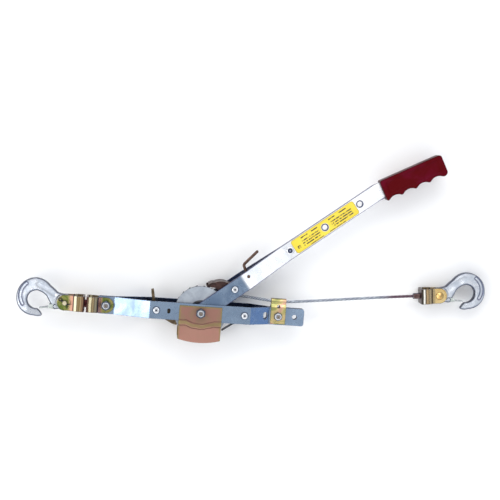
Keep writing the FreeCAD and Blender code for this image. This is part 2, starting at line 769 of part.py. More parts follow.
def build_pawls():
    pin = S.pawl_pin_at
    x, y = pin * cosine(S.lever_angle), pin * sine(S.lever_angle)
    drive = [
        (-36.8, 26.3), (-34.7, 30.9), (-31.9, 30.4), (-21.1, 27.6, -26.2, 30.0),
        (-3.0, 13.5, -10.5, 22.6), (4.8, 6.4), (6, -5.2), (-12.0, 2.6), (-22.5, 11.9),
        (-25.6, 19.6), (-31.2, 25.2),
    ]
    notch = [(-45, 18), (-25.8, 19), (-29.5, 27.4), (-34, 34), (-48, 34)]
    pawl("drive_pawl", (x, y, 0, S.lever_angle), drive, notch, -S.pawl_slot, S.pawl_slot)
    stop = [
        (36.9, -20.1), (34.6, -23.6), (28.5, -22.5), (10, -12.6, 18.5, -17.6), (-2, -7.7),
        (2, 7.7), (12, 5.6), (25.8, -6.2), (30.4, -13.2),
    ]
    notch = [(26, -4), (31.6, -14), (31.5, -26), (45, -26), (45, -4)]
    tail = slab([(-6.2, 4.2), (-1.0, 5.4), (-6.2, 31.9), (-10.4, 30.4)], -6.5, 1.5)
    pawl("stop_pawl", (-S.stop_pin_at, 0, 0, 0), stop, notch, 2.6, 11.4, [tail])


def build_lever():
    lever_strap("front_lever_strap", 1)
    lever_strap("rear_lever_strap", -1)
    grip()
    label_plate()
    pin = S.pawl_pin_at
    straps = S.lever_inner + S.plate_thick
    x, y = pin * cosine(S.lever_angle), pin * sine(S.lever_angle)
    rivet("drive_pawl_pin", (x, y, 0, S.lever_angle), straps, head=size(6), dome=size(2.6))
    at_rivet = S.lever_rivet_at
    x, y = at_rivet * cosine(S.lever_angle), at_rivet * sine(S.lever_angle)
    rivet("lever_rivet", (x, y, 0, S.lever_angle), S.plate_thick, dome=size(1.6))
    x, y = pin * cosine(S.lever_angle), pin * sine(S.lever_angle)
    coil_spring("drive_pawl_spring", (x, y, 0, S.lever_angle), -5, 5, (1.0, 5.2), (25.4, 7.0), 0)
    trip_rod()


# ---------------------------------------------------------------- yokes


def yoke(label, where, way):
    """A U of strap with round-ended ears close together and a wider base, its base on the way side."""
    body = new_body(label, where)
    wide, long = S.yoke_half_width, S.yoke_length
    half = S.yoke_flare + S.yoke_sheet
    plan = [(-wide * way, -wide), (long * way, -wide), (long * way, wide), (-wide * way, wide)]
    pad(body, outline(body, "XY_Plane", plan), half * 2, both_ways=True)
    gap, sheet_thick, flare = S.yoke_gap, S.yoke_sheet, S.yoke_flare
    inside = [
        (-wide - 5, -gap), (9, -gap), (20, -flare), (long - sheet_thick, -flare),
        (long - sheet_thick, flare), (20, flare), (9, gap), (-wide - 5, gap),
    ]
    pocket(body, outline(body, "XZ_Plane", [(size(x) * way, y) for x, y in inside]))
    for side in (1, -1):
        over = [
            (-wide - 5, gap + sheet_thick), (size(8.3), gap + sheet_thick), (size(19.3), half),
            (size(19.3), half + 5), (-wide - 5, half + 5),
        ]
        over = [(x * way, y * side) for x, y in over]
        pocket(body, outline(body, "XZ_Plane", over))
    pocket(body, circles(body, "XY_Plane", [(0, 0, pin_hole(label))]))
    pocket(body, circles(body, "YZ_Plane", [(0, 0, S.rivet_shank + 0.06)], long * way), 8, way < 0)
    rounded(body, wide - 0.02, lambda middle, edge: upright(edge) and abs(
        middle.x + number(wide) * way) < 0.01)
    rounded(body, 2.4, lambda middle, edge: edge.Length > 20 and abs(
        middle.x - number(long) * way) < 0.01 and abs(abs(middle.z) - number(half)) < 0.01)
    return body


def pin_hole(label):
    return S.axle_run if label == "frame_clevis" else S.pin_radius + 0.06


def build_yokes():
    yoke("frame_clevis", (-S.clevis_bolt_at, 0, 0, 0), -1)
    base = S.clevis_bolt_at + S.yoke_length
    swivel_pin(base)
    yoke("hook_clevis", ANCHOR, 1)
    yoke("load_clevis", LOAD, -1)
    arms = S.yoke_gap + S.yoke_sheet
    split = (-S.anchor_pin_at, 0, 0, S.cotter_turn)
    headed_pin("clevis_pin", split, arms, size(5.6), -1)
    headed_pin("load_pin", LOAD, arms, size(6.6), 1)
    cotter("cotter_pin", split, arms + S.cotter_height, -1)
    cotter("load_cotter_pin", LOAD, -arms - S.cotter_height, 1)


def swivel_pin(base):
    """The rivet that joins two yokes base to base, along X, with a washer's gap between them."""
    inner = S.yoke_sheet
    gap = S.anchor_pin_at - S.yoke_length - base
    shank = S.rivet_shank
    near, far = inner, -gap - inner
    return turned("swivel_pin", (-base, 0, 0, 0), [
        (near + 0.1, shank), (near + 0.1, 7.0), (near + 3.2, 4.4, near + 2.4, 6.3),
        (near + 3.2, 0), (far - 3.2, 0), (far - 3.2, 4.4), (far - 0.1, 7.0, far - 2.4, 6.3),
        (far - 0.1, shank), (0.05 - gap, shank), (0.05 - gap, 6.6), (-0.05, 6.6), (-0.05, shank),
    ], plane="XY_Plane", axis="H_Axis")


def headed_pin(label, where, arms, head, side):
    """A pin along Z through a yoke's ears: a domed head on one side, and a drilled tail on the other."""
    radius, ends = S.pin_radius, arms + S.pin_tail
    low, top = -ends, arms + 3.2
    body = turned(label, where, [(r, height * side) for r, height in (
        (0, low), (radius - 0.6, low), (radius, low + 0.6), (radius, arms), (head, arms),
        (head * 0.16, top), (0, top),
    )])
    drilled = circles(body, "YZ_Plane", [(0, -(arms + S.cotter_height) * side, S.cotter_radius)])
    pocket(body, drilled)
    return body


def cotter(label, where, height, way):
    """A split pin through the tail of a yoke's pin: one straight wire with a round eye on one side."""
    height, wire_radius = number(height), number(S.cotter_radius) - 0.05
    bar = Part.makeCylinder(wire_radius, 15, vector(-7.5, 0, height), vector(1, 0, 0))
    eye = Part.makeTorus(2.2, wire_radius, vector(9.2 * way, 0, height), vector(0, 0, 1))
    return new_feature(label, where, bar.fuse(eye))


# ---------------------------------------------------------------- hooks


def hook(label, where, way):
    """A forged hook: eye, neck with a lug for the latch, round bowl and tapered point."""
    def at(x, y):
        return x * way, y

    cx, cy, r = number(S.bowl_out), number(S.bowl_up), number(S.bowl_radius)

    def on_bowl(angle):
        return at(cx + r * math.cos(math.radians(angle)), cy + r * math.sin(math.radians(angle)))

    reach = number(S.hook_reach)
    eye = number(S.eye_radius)
    outer = [
        at(11.9, 15.2), at(24.4, 25.6) + at(18.3, 20.9), at(47.5, 37.4) + at(34.6, 33.8),
        at(reach, 6.0) + at(69.6, 28.4), at(50.0, -25.0) + at(71.4, -15.6),
        at(38.8, -25.2) + at(44.3, -25.9), at(37.4, -20.6) + at(36.3, -23.2),
        on_bowl(-97) + at(40.2, -16.8), on_bowl(90) + on_bowl(0), at(30.4, 8.6) + on_bowl(130),
        at(22.6, -4.6), at(15, -12.4) + at(20.3, -9.8), at(9.0, -11.0),
        at(3, eye + 0.4) + at(-eye, 0),
    ]
    body_shape = slab(outer, -S.hook_half, S.hook_half)
    clear = cylinder(eye + 2.4, S.eye_half, 20).fuse(cylinder(eye + 2.4, -20, -S.eye_half))
    shape = body_shape.cut(clear).cut(cylinder(S.pin_radius + 0.07, -20, 20))
    shape = shape.cut(cylinder(1.7, -20, 20, 15 * way, -7.2))
    return new_feature(label, where, shape)


def latch(label, where, way):
    """Bent sheet across the hook's throat: two ears on the lug's rivet and a web to the point."""
    ear_low, ear_high = 7.25, 8.45
    ears = []
    for side in (1, -1):
        low, high = sorted((ear_low * side, ear_high * side))
        ear = slab([
            (12.3 * way, -6.6), (15 * way, -3.2), (26 * way, -4.6), (26.5 * way, -10.3),
            (15 * way, -11.8),
        ], low, high)
        ears.append(ear.cut(cylinder(1.68, -20, 20, 15 * way, -7.2)))
    web = slab([(23.5 * way, -9.6), (24 * way, -8.2), (41 * way, -11.0), (41 * way, -12.4)],
               -ear_high, ear_high)
    for side in (1, -1):
        trim = slab([(29 * way, 0), (29 * way, -20), (50 * way, -20), (50 * way, 0)],
                    *sorted((5.4 * side, 12 * side)))
        web = web.cut(trim)
    return new_feature(label, where, web.fuse(ears).removeSplitter())


def build_hooks():
    for name, where, way in (("anchor", ANCHOR, -1), ("load", LOAD, 1)):
        hook(f"{name}_hook", where, way)
        latch(f"{name}_latch", where, way)
        pin = cylinder(1.6, -9.0, 9.0, 15 * way, -7.2)
        for low, high in ((8.5, 9.6), (-9.6, -8.5)):
            pin = pin.fuse(cylinder(2.7, low, high, 15 * way, -7.2))
        new_feature(f"{name}_latch_rivet", where, pin)


# ---------------------------------------------------------------- cable


def along_load(run, height):
    """A point on the load's line, measured back from the load pin."""
    turn = number(S.load_angle)
    x = number(S.load_pin_along) + run * math.cos(math.radians(turn))
    y = number(S.load_pin_across) + run * math.sin(math.radians(turn))
    return x, y, height


def cable_run():
    """The cable from the drum's winding, through its guide, to the ferrule at the load's yoke."""
    drop = number(S.load_drop)
    radius = number(S.cable_radius)
    end = along_load(-number(S.yoke_length) - 12, drop)
    route = [
        (15.0, 34.56, 0), (118.0, 24.4, 0), (142.4, 23.9, -0.1), (197.0, 29.5, -3.4),
        (260.0, 35.95, -10.6), (318.0, 41.9, -15.6), end,
    ]
    points = [FreeCAD.Vector(*p) for p in route]
    edges = []
    last = points[0]
    radii = []
    for i in range(1, len(points) - 1):
        back = points[i - 1] - points[i]
        ahead = points[i + 1] - points[i]
        reach = 0.45 * min(back.Length, ahead.Length)
        back.normalize()
        ahead.normalize()
        half_turn = (math.pi - back.getAngle(ahead)) / 2
        bend = reach / math.tan(half_turn)
        radii.append(round(bend, 1))
        enter, leave = points[i] + back * reach, points[i] + ahead * reach
        inward = (back + ahead).normalize()
        middle = points[i] + inward * (bend / math.cos(half_turn) - bend)
        edges.append(Part.LineSegment(last, enter).toShape())
        edges.append(Part.Arc(enter, middle, leave).toShape())
        last = leave
    edges.append(Part.LineSegment(last, points[-1]).toShape())
    length = sum(edge.Length for edge in edges)
    path = Part.Wire(edges)
    ring = Part.Wire(Part.Circle(points[0], points[1] - points[0], radius).toShape())
    tube = path.makePipeShell([ring], True, False)
    section = math.pi * radius ** 2
    print("cable arc radii, mm:", radii, "length:", round(length, 1),
          "volume over section times length:", round(tube.Volume / (section * length), 4))
    return new_feature("cable_run", FRAME, tube)


def cable_ferrule():
    """A pressed sleeve whose neck goes through the yoke's base, with a button inside it."""
    base = -S.yoke_length
    neck = S.rivet_shank - 0.04
    return turned("cable_ferrule", LOAD, [
        (base - 12, 0), (base - 12, 4.2), (base - 11, 4.9), (base - 0.3, 4.9), (base - 0.3, neck),
        (base + 3.25, neck), (base + 3.25, 7.2), (base + 8.2, 7.2), (base + 9.2, 6.2),
        (base + 9.2, 0),
    ], plane="XY_Plane", axis="H_Axis")


build_frame()
build_drum()
build_lever()
build_pawls()
build_yokes()
build_hooks()
cable_run()
cable_ferrule()

doc.recompute()
for thing in doc.Objects:
    if "Invalid" in thing.State or "Error" in thing.State:
        raise RuntimeError(f"{thing.Name} of {thing.Label} failed: {thing.State}")
os.makedirs("parts", exist_ok=True)
box = FreeCAD.BoundBox()
for thing in subparts:
    if thing.Shape.isNull() or not thing.Shape.isValid():
        raise RuntimeError(f"{thing.Label} has no valid shape")
    if len(thing.Shape.Solids) < 1:
        raise RuntimeError(f"{thing.Label} has no solid")
    print(thing.Label, len(thing.Shape.Solids), "solid, mm3:", round(thing.Shape.Volume))
    box.add(thing.Shape.BoundBox)
    thing.Shape.exportStep(f"parts/{thing.Label}.step")
print("box:", box)
print(len(subparts), "sub-parts")
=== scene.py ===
import json
from math import atan2, ceil, cos, hypot, pi, radians, sin

import bmesh
import bpy
import numpy as np
from mathutils import Matrix, Vector


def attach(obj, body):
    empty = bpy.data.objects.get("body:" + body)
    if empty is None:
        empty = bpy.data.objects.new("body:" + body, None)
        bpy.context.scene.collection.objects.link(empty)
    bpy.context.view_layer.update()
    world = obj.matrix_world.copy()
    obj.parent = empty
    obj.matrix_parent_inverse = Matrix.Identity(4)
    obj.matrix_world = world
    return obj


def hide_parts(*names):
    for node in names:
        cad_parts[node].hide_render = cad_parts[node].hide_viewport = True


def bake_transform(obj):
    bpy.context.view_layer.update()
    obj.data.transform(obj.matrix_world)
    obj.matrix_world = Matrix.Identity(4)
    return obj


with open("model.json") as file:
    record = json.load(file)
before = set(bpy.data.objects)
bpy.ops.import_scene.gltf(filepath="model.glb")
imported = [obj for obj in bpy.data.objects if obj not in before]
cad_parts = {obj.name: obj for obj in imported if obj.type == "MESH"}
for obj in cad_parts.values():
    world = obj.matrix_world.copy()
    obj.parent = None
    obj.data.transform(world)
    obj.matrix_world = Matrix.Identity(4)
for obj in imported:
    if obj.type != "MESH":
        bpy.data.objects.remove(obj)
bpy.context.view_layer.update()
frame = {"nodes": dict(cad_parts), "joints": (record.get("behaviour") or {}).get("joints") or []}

nodes = frame["nodes"]
scene = bpy.context.scene
AXLE = Vector(next(j for j in frame["joints"] if j["name"] == "drum_spin")["pos_m"])
MM = 0.001
LEVER_TURN, GRIP_TURN, LOAD_TURN = 38.0, -10.0, 5.8
# Millimetres from the axle: along the frame, along the lever, and the load hook's pin.
ANCHOR_PIN, CLEVIS_BOLT, FRAME_RIVET, GUIDE_BOLT = -222.0, -155.0, 72.5, 129.5
PAWL_PIN, LEVER_RIVET_AT, MIDDLE_HOLE, LAST_HOLE = 68.1, 179.5, 249.0, 318.5
LOAD_PIN = (402.7, 50.5, -16.6)
# From a hook's pin to its latch's pivot.
LATCH_PIVOT = (15.0, -7.2)
# The cable's diameter in millimetres, then in metres its lay and the length between its rings.
CABLE, ROPE_LAY, ROPE_STEP = 4.76, 0.04, 0.0014


def spot(x, y, z=0.0):
    """A point given in millimetres from the drum's axle, in the row frame in metres."""
    return AXLE + Vector((x, y, z)) * MM


def turned(degrees):
    return Matrix.Rotation(radians(degrees), 4, "Z")


def placed(x, y, z, degrees=0.0, mirror=False):
    """The matrix from a piece's own millimetres to the row frame."""
    flip = Matrix.Diagonal((-1.0 if mirror else 1.0, 1.0, 1.0, 1.0))
    return Matrix.Translation(spot(x, y, z)) @ turned(degrees) @ Matrix.Scale(MM, 4) @ flip


def on_lever(run):
    """A place on the lever's middle line, in millimetres from the axle."""
    return run * cos(radians(LEVER_TURN)), run * sin(radians(LEVER_TURN))


AT_LEVER = placed(0, 0, 0, LEVER_TURN)
AT_GRIP = AT_LEVER @ Matrix.Translation((352, 0, 0)) @ turned(GRIP_TURN)
AT_ANCHOR = placed(ANCHOR_PIN, 0, 0, mirror=True)
AT_LOAD = placed(*LOAD_PIN, LOAD_TURN)

# ---- camera

toward = Vector((-0.0913, 0.0994, 0.9909)).normalized()
target, distance = spot(75.0, 106.68), 2.0
along = (Vector((1, 0, 0)) - toward * toward.x).normalized()
across = toward.cross(along)
roll = radians(4.0)
right = along * cos(roll) + across * sin(roll)
up = toward.cross(right)
camera = bpy.data.objects.new("camera", bpy.data.cameras.new("camera"))
scene.collection.objects.link(camera)
camera.data.lens = 87.06
camera.data.dof.use_dof = False
camera.matrix_world = Matrix.Translation(target + toward * distance) @ Matrix(
    (right, up, toward)).transposed().to_4x4()
scene.camera = camera

# ---- mesh helpers


def new_piece(name, points, faces, matrix=None, sharp=35.0):
    """A mesh object from points, smooth except where faces meet at more than that angle."""
    mesh = bpy.data.meshes.new(name)
    mesh.from_pydata([tuple(p) for p in points], [], faces)
    if matrix is not None:
        mesh.transform(matrix)
        if matrix.determinant() < 0:
            mesh.flip_normals()
    mesh.polygons.foreach_set("use_smooth", [True] * len(mesh.polygons))
    mesh.set_sharp_from_angle(angle=radians(sharp))
    piece = bpy.data.objects.new(name, mesh)
    scene.collection.objects.link(piece)
    return piece


def join_rings(rings, count, closed_ends=True):
    """Quads between rings of count points that follow one another."""
    faces = []
    for i in range(rings - 1):
        for j in range(count):
            k = (j + 1) % count
            faces.append((i * count + j, i * count + k, (i + 1) * count + k, (i + 1) * count + j))
    if closed_ends:
        faces.append(tuple(range(count))[::-1])
        faces.append(tuple((rings - 1) * count + j for j in range(count)))
    return faces


def lathe(name, matrix, profile, count, sharp=35.0):
    """An outline of (radius, height) that starts or ends on the axis, turned about it."""
    points = []
    for radius, height in profile:
        for j in range(count):
            a = 2 * pi * j / count
            points.append((radius * cos(a), radius * sin(a), height))
    piece = new_piece(name, points, join_rings(len(profile), count, closed_ends=False), matrix, sharp)
    made = bmesh.new()
    made.from_mesh(piece.data)
    bmesh.ops.remove_doubles(made, verts=made.verts, dist=1e-7)
    bmesh.ops.recalc_face_normals(made, faces=made.faces)
    made.to_mesh(piece.data)
    made.free()
    piece.data.set_sharp_from_angle(angle=radians(sharp))
    return piece


def smooth_line(points):
    """Points along the NURBS curve that the route's points control."""
    curve = bpy.data.curves.new("route", "CURVE")
    curve.dimensions = "3D"
    spline = curve.splines.new("NURBS")
    spline.points.add(len(points) - 1)
    for point, place in zip(spline.points, points):
        point.co = (*place, 1.0)
    spline.order_u = 3
    spline.use_endpoint_u = True
    spline.resolution_u = 16
    holder = bpy.data.objects.new("route", curve)
    mesh = bpy.data.meshes.new_from_object(holder)
    line = np.array([v.co for v in mesh.vertices], float)
    bpy.data.objects.remove(holder)
    bpy.data.meshes.remove(mesh)
    bpy.data.curves.remove(curve)
    return line


def lengths_along(line):
    """The distance run at each of a line's points."""
    return np.concatenate([[0], np.cumsum(np.linalg.norm(np.diff(line, axis=0), axis=1))])


def evenly(line, step):
    """The line again, with its points at most a step apart."""
    run = lengths_along(line)
    at = np.linspace(0, run[-1], max(2, ceil(run[-1] / step) + 1))
    return np.stack([np.interp(at, run, line[:, k]) for k in range(3)], axis=1)


def carried_frames(line):
    """Two unit vectors across the line at each of its points, carried along without twisting."""
    tangents = np.gradient(line, axis=0)
    tangents /= np.linalg.norm(tangents, axis=1)[:, None]
    side = np.cross(tangents[0], (0.13, 0.21, 0.97))
    side /= np.linalg.norm(side)
    sides = []
    for t in tangents:
        side = side - t * (side @ t)
        side = side / np.linalg.norm(side)
        sides.append(side)
    sides = np.array(sides)
    return sides, np.cross(tangents, sides)


def rings_about(line, reach, angle):
    """Points about a line, a ring for each of its points."""
    sides, ups = carried_frames(line)
    reach, angle = reach[..., None], angle[..., None]
    across = np.cos(angle) * sides[:, None, :] + np.sin(angle) * ups[:, None, :]
    return (line[:, None, :] + reach * across).reshape(-1, 3)


def tube(name, line, radius, count, ends):
    """A round wire along a line; its ends shrink to that share of the radius."""
    radii = np.full(len(line), radius)
    radii[[0, -1]] *= ends
    angle = 2 * pi * np.arange(count) / count
    points = rings_about(line, radii[:, None], angle[None, :])
    return new_piece(name, points, join_rings(len(line), count), None, 60)


def rope(name, line, step=ROPE_STEP, first=0.0):
    """Wire rope: six strands laid round one another, with the length and the turn kept as a UV map."""
    line = evenly(line, step)
    count = 24
    shape = CABLE / 2 * MM * np.tile([0.735, 0.93, 1.0, 0.93], 6)
    run = lengths_along(line)
    still = 2 * pi * np.arange(count) / count
    angle = still[None, :] + (2 * pi * run / ROPE_LAY)[:, None]
    points = rings_about(line, shape[None, :], angle)
    piece = new_piece(name, points, join_rings(len(line), count), None, 80)
    layer = piece.data.uv_layers.new(name="rope")
    index = np.zeros(len(piece.data.loops), np.int32)
    piece.data.loops.foreach_get("vertex_index", index)
    flat = np.stack([np.repeat(run + first, count) * 100, angle.reshape(-1) / (2 * pi)], axis=1)
    layer.data.foreach_set("uv", flat[index].astype(np.float32).reshape(-1))
    return piece


# ---- the cable

ferrule_end = AT_LOAD @ Vector((-44.0, 0, 0))
run_route = [spot(7.5, 35.28), spot(89.0, 27.26), spot(118.0, 24.4), spot(142.4, 23.9, -0.1),
             spot(197.0, 29.5, -3.4), spot(260.0, 35.95, -10.6), spot(318.0, 41.9, -15.6), ferrule_end]
run_line = smooth_line(run_route)
cable_run = rope("cable_run_strands", run_line)
run_ring_line = evenly(run_line, ROPE_STEP)
run_length = float(lengths_along(run_ring_line)[-1])
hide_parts("cable_run")
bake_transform(cable_run)


def winding_route():
    """Three full layers of cable on the drum's core and part of a fourth, down to the run."""
    # Each layer's radius, its turns, and where across the drum it starts and ends.
    layers = ((22.3, 4.25, -9.1, 9.1), (26.5, 4.25, 9.1, -9.1), (30.7, 4.25, -9.1, 9.1),
              (34.9, 2.0, 9.1, 0.0))
    per_turn = 16
    whole = sum(layer[1] for layer in layers)
    points, done, before = [], 0.0, layers[0][0]
    for radius, turns, low, high in layers:
        steps = round(turns * per_turn)
        for i in range(steps):
            share = min(1.0, i / 3)
            r = (before + (radius - before) * share) / cos(pi / per_turn) ** 0.5
            a = radians(84.4 + 360 * (whole - done))
            points.append(spot(r * cos(a), r * sin(a), low + (high - low) * i / steps))
            done += 1 / per_turn
        before = radius
    return points + [spot(3.5, 35.8), spot(6.0, 35.5)]


# The winding's lengths count from three metres back, so that the ferrule's stain stays off it.
winding = rope("cable_winding_strands", smooth_line(winding_route()), step=0.0026, first=-3.0)
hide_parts("cable_winding")
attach(winding, "drum")

# ---- material nodes


def set_stops(elements, stops):
    """Give a colour ramp its stops, each (place, colour), in rising order."""
    elements.remove(elements[1])
    elements[0].position = stops[0][0]
    elements[0].color = (*stops[0][1], 1.0)
    for place, colour in stops[1:]:
        elements.new(place).color = (*colour, 1.0)


class Nodes:
    """Short calls that add nodes to a tree and give their outputs."""

    def __init__(self, tree):
        self.tree = tree

    def node(self, kind, values=None, **settings):
        made = self.tree.nodes.new(kind)
        for key, value in settings.items():
            setattr(made, key, value)
        for key, value in (values or {}).items():
            socket = made.inputs[key]
            if isinstance(value, bpy.types.NodeSocket):
                self.tree.links.new(value, socket)
            elif hasattr(socket.default_value, "__len__") and len(socket.default_value) == 4:
                socket.default_value = (*value, 1.0) if len(value) == 3 else value
            else:
                socket.default_value = value
        return made

    def math(self, kind, a, b=0.0):
        return self.node("ShaderNodeMath", {0: a, 1: b}, operation=kind).outputs[0]

    def plus(self, a, b):
        return self.math("ADD", a, b)

    def minus(self, a, b):
        return self.math("SUBTRACT", a, b)

    def times(self, a, b):
        return self.math("MULTIPLY", a, b)

    def over(self, a, b):
        return self.math("DIVIDE", a, b)

    def most(self, a, b):
        return self.math("MAXIMUM", a, b)

    def absolute(self, a):
        return self.math("ABSOLUTE", a)

    def split(self, vector):
        return self.node("ShaderNodeSeparateXYZ", {0: vector}).outputs

    def between(self, value, low, high, a=0.0, b=1.0):
        """A smooth step from a to b while the value goes from low to high."""
        return self.node("ShaderNodeMapRange", {
            "Value": value, "From Min": low, "From Max": high, "To Min": a, "To Max": b},
            interpolation_type="SMOOTHSTEP").outputs[0]

    def mix(self, share, a, b):
        made = self.node("ShaderNodeMix", data_type="RGBA")
        for socket, value in ((made.inputs[0], share), (made.inputs[6], a), (made.inputs[7], b)):
            if isinstance(value, bpy.types.NodeSocket):
                self.tree.links.new(value, socket)
            else:
                socket.default_value = (*value, 1.0)
        return made.outputs[2]

    def laid(self, base, where, share, colour):
        """The base with a colour laid over it where a mask says, at a share of its strength."""
        return self.mix(self.times(where, share), base, colour)

    def ramp(self, value, stops):
        made = self.node("ShaderNodeValToRGB", {"Fac": value})
        set_stops(made.color_ramp.elements, stops)
        return made.outputs[0]


class Shader(Nodes):
    """A material's nodes, with the masks and textures that the finishes share."""

    def __init__(self, name):
        self.material = bpy.data.materials.new(name)
        self.material.use_nodes = True
        super().__init__(self.material.node_tree)
        self.tree.nodes.clear()
        self.where = self.node("ShaderNodeTexCoord").outputs["Object"]

    def mapped(self, scale, turn=0.0):
        """The coordinates turned about Z to lie along a direction, then scaled."""
        moved = self.node("ShaderNodeMapping", {
            "Vector": self.where, "Rotation": (0, 0, -radians(turn))}).outputs[0]
        return self.node("ShaderNodeMapping", {"Vector": moved, "Scale": scale}).outputs[0]

    def noise(self, scale, detail, rough=0.5, vector=None, twist=0.0):
        return self.node("ShaderNodeTexNoise", {
            "Vector": vector or self.where, "Scale": scale, "Detail": detail, "Roughness": rough,
            "Distortion": twist}).outputs["Fac"]

    def along(self, turn=0.0, origin=AXLE):
        """Millimetres from an origin, along a direction in the floor's plane and across it."""
        start = turned(-turn) @ origin
        x, y, _ = self.split(self.mapped((1, 1, 1), turn))
        return self.over(self.minus(x, start.x), MM), self.over(self.minus(y, start.y), MM)

    def edges(self, radius):
        """Rounded normals, and a mask of where they differ from the true ones."""
        soft = self.node("ShaderNodeBevel", {"Radius": radius}, samples=4).outputs[0]
        flat = self.node("ShaderNodeNewGeometry").outputs["Normal"]
        agree = self.node("ShaderNodeVectorMath", {0: soft, 1: flat}, operation="DOT_PRODUCT")
        return soft, self.between(agree.outputs["Value"], 0.999, 0.93)

    def facing(self):
        """The normal in the piece's own frame, which follows the poses."""
        return self.split(self.node("ShaderNodeTexCoord").outputs["Normal"])

    def sides(self, low=0.25, high=0.8):
        """How far a face looks sideways, away from the drum's axle, at rest."""
        return self.between(self.absolute(self.facing()[2]), high, low)

    def inner(self):
        """Faces that look towards the middle plane of the winch, at rest."""
        height = self.minus(self.split(self.where)[2], AXLE.z)
        return self.between(self.times(height, self.facing()[2]), 0.0002, -0.0012)

    def from_centres(self, centres):
        """Centimetres across the floor's plane from the nearest of some centres, given in millimetres."""
        nearest = None
        flat = self.mapped((1, 1, 0))
        for x, y in centres:
            centre = spot(x, y)
            gap = self.node("ShaderNodeVectorMath", {0: flat, 1: (centre.x, centre.y, 0.0)},
                            operation="DISTANCE").outputs["Value"]
            nearest = gap if nearest is None else self.math("MINIMUM", nearest, gap)
        return self.over(nearest, 10 * MM)

    def bump(self, height, strength, distance, normal=None):
        values = {"Height": height, "Strength": strength, "Distance": distance}
        if normal is not None:
            values["Normal"] = normal
        return self.node("ShaderNodeBump", values).outputs[0]

    def finish(self, **values):
        keys = {"colour": "Base Color", "metal": "Metallic", "rough": "Roughness", "normal": "Normal",
                "coat": "Coat Weight", "coat_rough": "Coat Roughness",
                "specular": "Specular IOR Level", "anisotropy": "Anisotropic"}
        surface = self.node("ShaderNodeBsdfPrincipled", {keys[k]: v for k, v in values.items()})
        self.node("ShaderNodeOutputMaterial", {"Surface": surface.outputs[0]})
        return self.material


def plated(name, light, dark, rough, metal=1.0, turn=0.0, brush=0.5, cloud=28.0, scratches=0.35,
           edge_wear_and_shade=(0.8, 0.84, 0.88), edge_wear_and_shade_share=0.6, edge=0.0006, colour=None, side=None, inner_face_shade=None):
    """Rolled or pressed steel with a thin plated coat: clouds, rolling lines, scratches, edges that are
    worn light on some finishes and painted dark as shade on others, and side faces and inner faces
    painted dark as shade where a colour is given for them.
    """
    s = Shader(name)
    clouds = s.noise(cloud, 4.0, 0.6, twist=0.6)
    lines = s.noise(1.0, 3.0, 0.7, s.mapped((9, 700, 700), turn))
    specks = s.noise(1400.0, 2.0, 0.6)
    marks = s.node("ShaderNodeTexVoronoi", {
        "Vector": s.mapped((26, 190, 60), turn + 17), "Scale": 1.0},
        feature="DISTANCE_TO_EDGE").outputs["Distance"]
    broken = s.between(s.noise(45.0, 2.0), 0.5, 0.62)
    scratch = s.times(s.between(marks, 0.018, 0.0), broken)
    smudge = s.between(s.noise(60.0, 5.0, 0.65, twist=1.2), 0.45, 0.75)
    base = colour(s) if colour else s.mix(s.between(clouds, 0.35, 0.65), dark, light)
    base = s.laid(base, s.between(lines, 0.35, 0.7), 0.22 * brush, dark)
    base = s.laid(base, smudge, 0.12, dark)
    soft, mask = s.edges(edge)
    base = s.laid(base, scratch, scratches, light or dark)
    # Edges take a colour that is lighter worn metal on some finishes and a dark outline painted as shade
    # on most others.
    base = s.laid(base, mask, edge_wear_and_shade_share, edge_wear_and_shade)
    # Faces that look sideways are painted dark as shade.
    if side:
        base = s.laid(base, s.sides(), 0.8, side)
    # Faces that look towards the winch's middle plane are painted dark navy as shade.
    if inner_face_shade:
        base = s.laid(base, s.inner(), 0.88, inner_face_shade)
    shine = s.between(clouds, 0.3, 0.7, rough[1], rough[0])
    shine = s.plus(shine, s.times(smudge, 0.1))
    shine = s.plus(shine, s.times(s.minus(lines, 0.5), 0.12 * brush))
    height = s.plus(s.times(lines, 0.5 * brush), s.times(specks, 0.35))
    height = s.minus(height, s.times(scratch, 1.5))
    return s.finish(colour=base, metal=metal, rough=shine, anisotropy=0.25 * brush,
                    normal=s.bump(height, 0.22, 0.00006, soft))


def rainbow_zinc(s):
    """Yellow chromate: gold that drifts to olive and pink."""
    drift = s.noise(38.0, 3.0, 0.55, s.mapped((1, 1.6, 1), 24), twist=0.9)
    return s.ramp(drift, ((0.34, (0.3, 0.33, 0.12)), (0.44, (0.52, 0.46, 0.18)),
                          (0.52, (0.72, 0.56, 0.28)), (0.62, (0.7, 0.4, 0.3))))


def yoke_colour(x, y, turn, way, ear, bands):
    """Chromate on a folded yoke: a drifting ear, then bands along the fold of chromate tint with painted
    highlights and painted dark shade where the strap bends.
    """
    def paint(s):
        run = s.times(s.along(turn, spot(x, y))[0], way)
        wobble = s.times(s.minus(s.noise(120.0, 2.0), 0.5), 1.2)
        run = s.plus(run, wobble)
        streaks = s.noise(1.0, 2.0, 0.6, s.mapped((950, 20, 20), turn))
        drift = s.between(s.noise(60.0, 3.0, 0.6, twist=0.7), 0.38, 0.62)
        # The bands paint the bends' highlights and shade into the colour.
        fold = s.ramp(s.over(run, BANDS_SPAN), bands)
        fold = s.laid(fold, s.between(streaks, 0.45, 0.7), 0.35, (0.12, 0.08, 0.04))
        green = s.mix(drift, ear[0], ear[1])
        return s.mix(s.between(run, 4.0, 9.5), green, fold)
    return paint
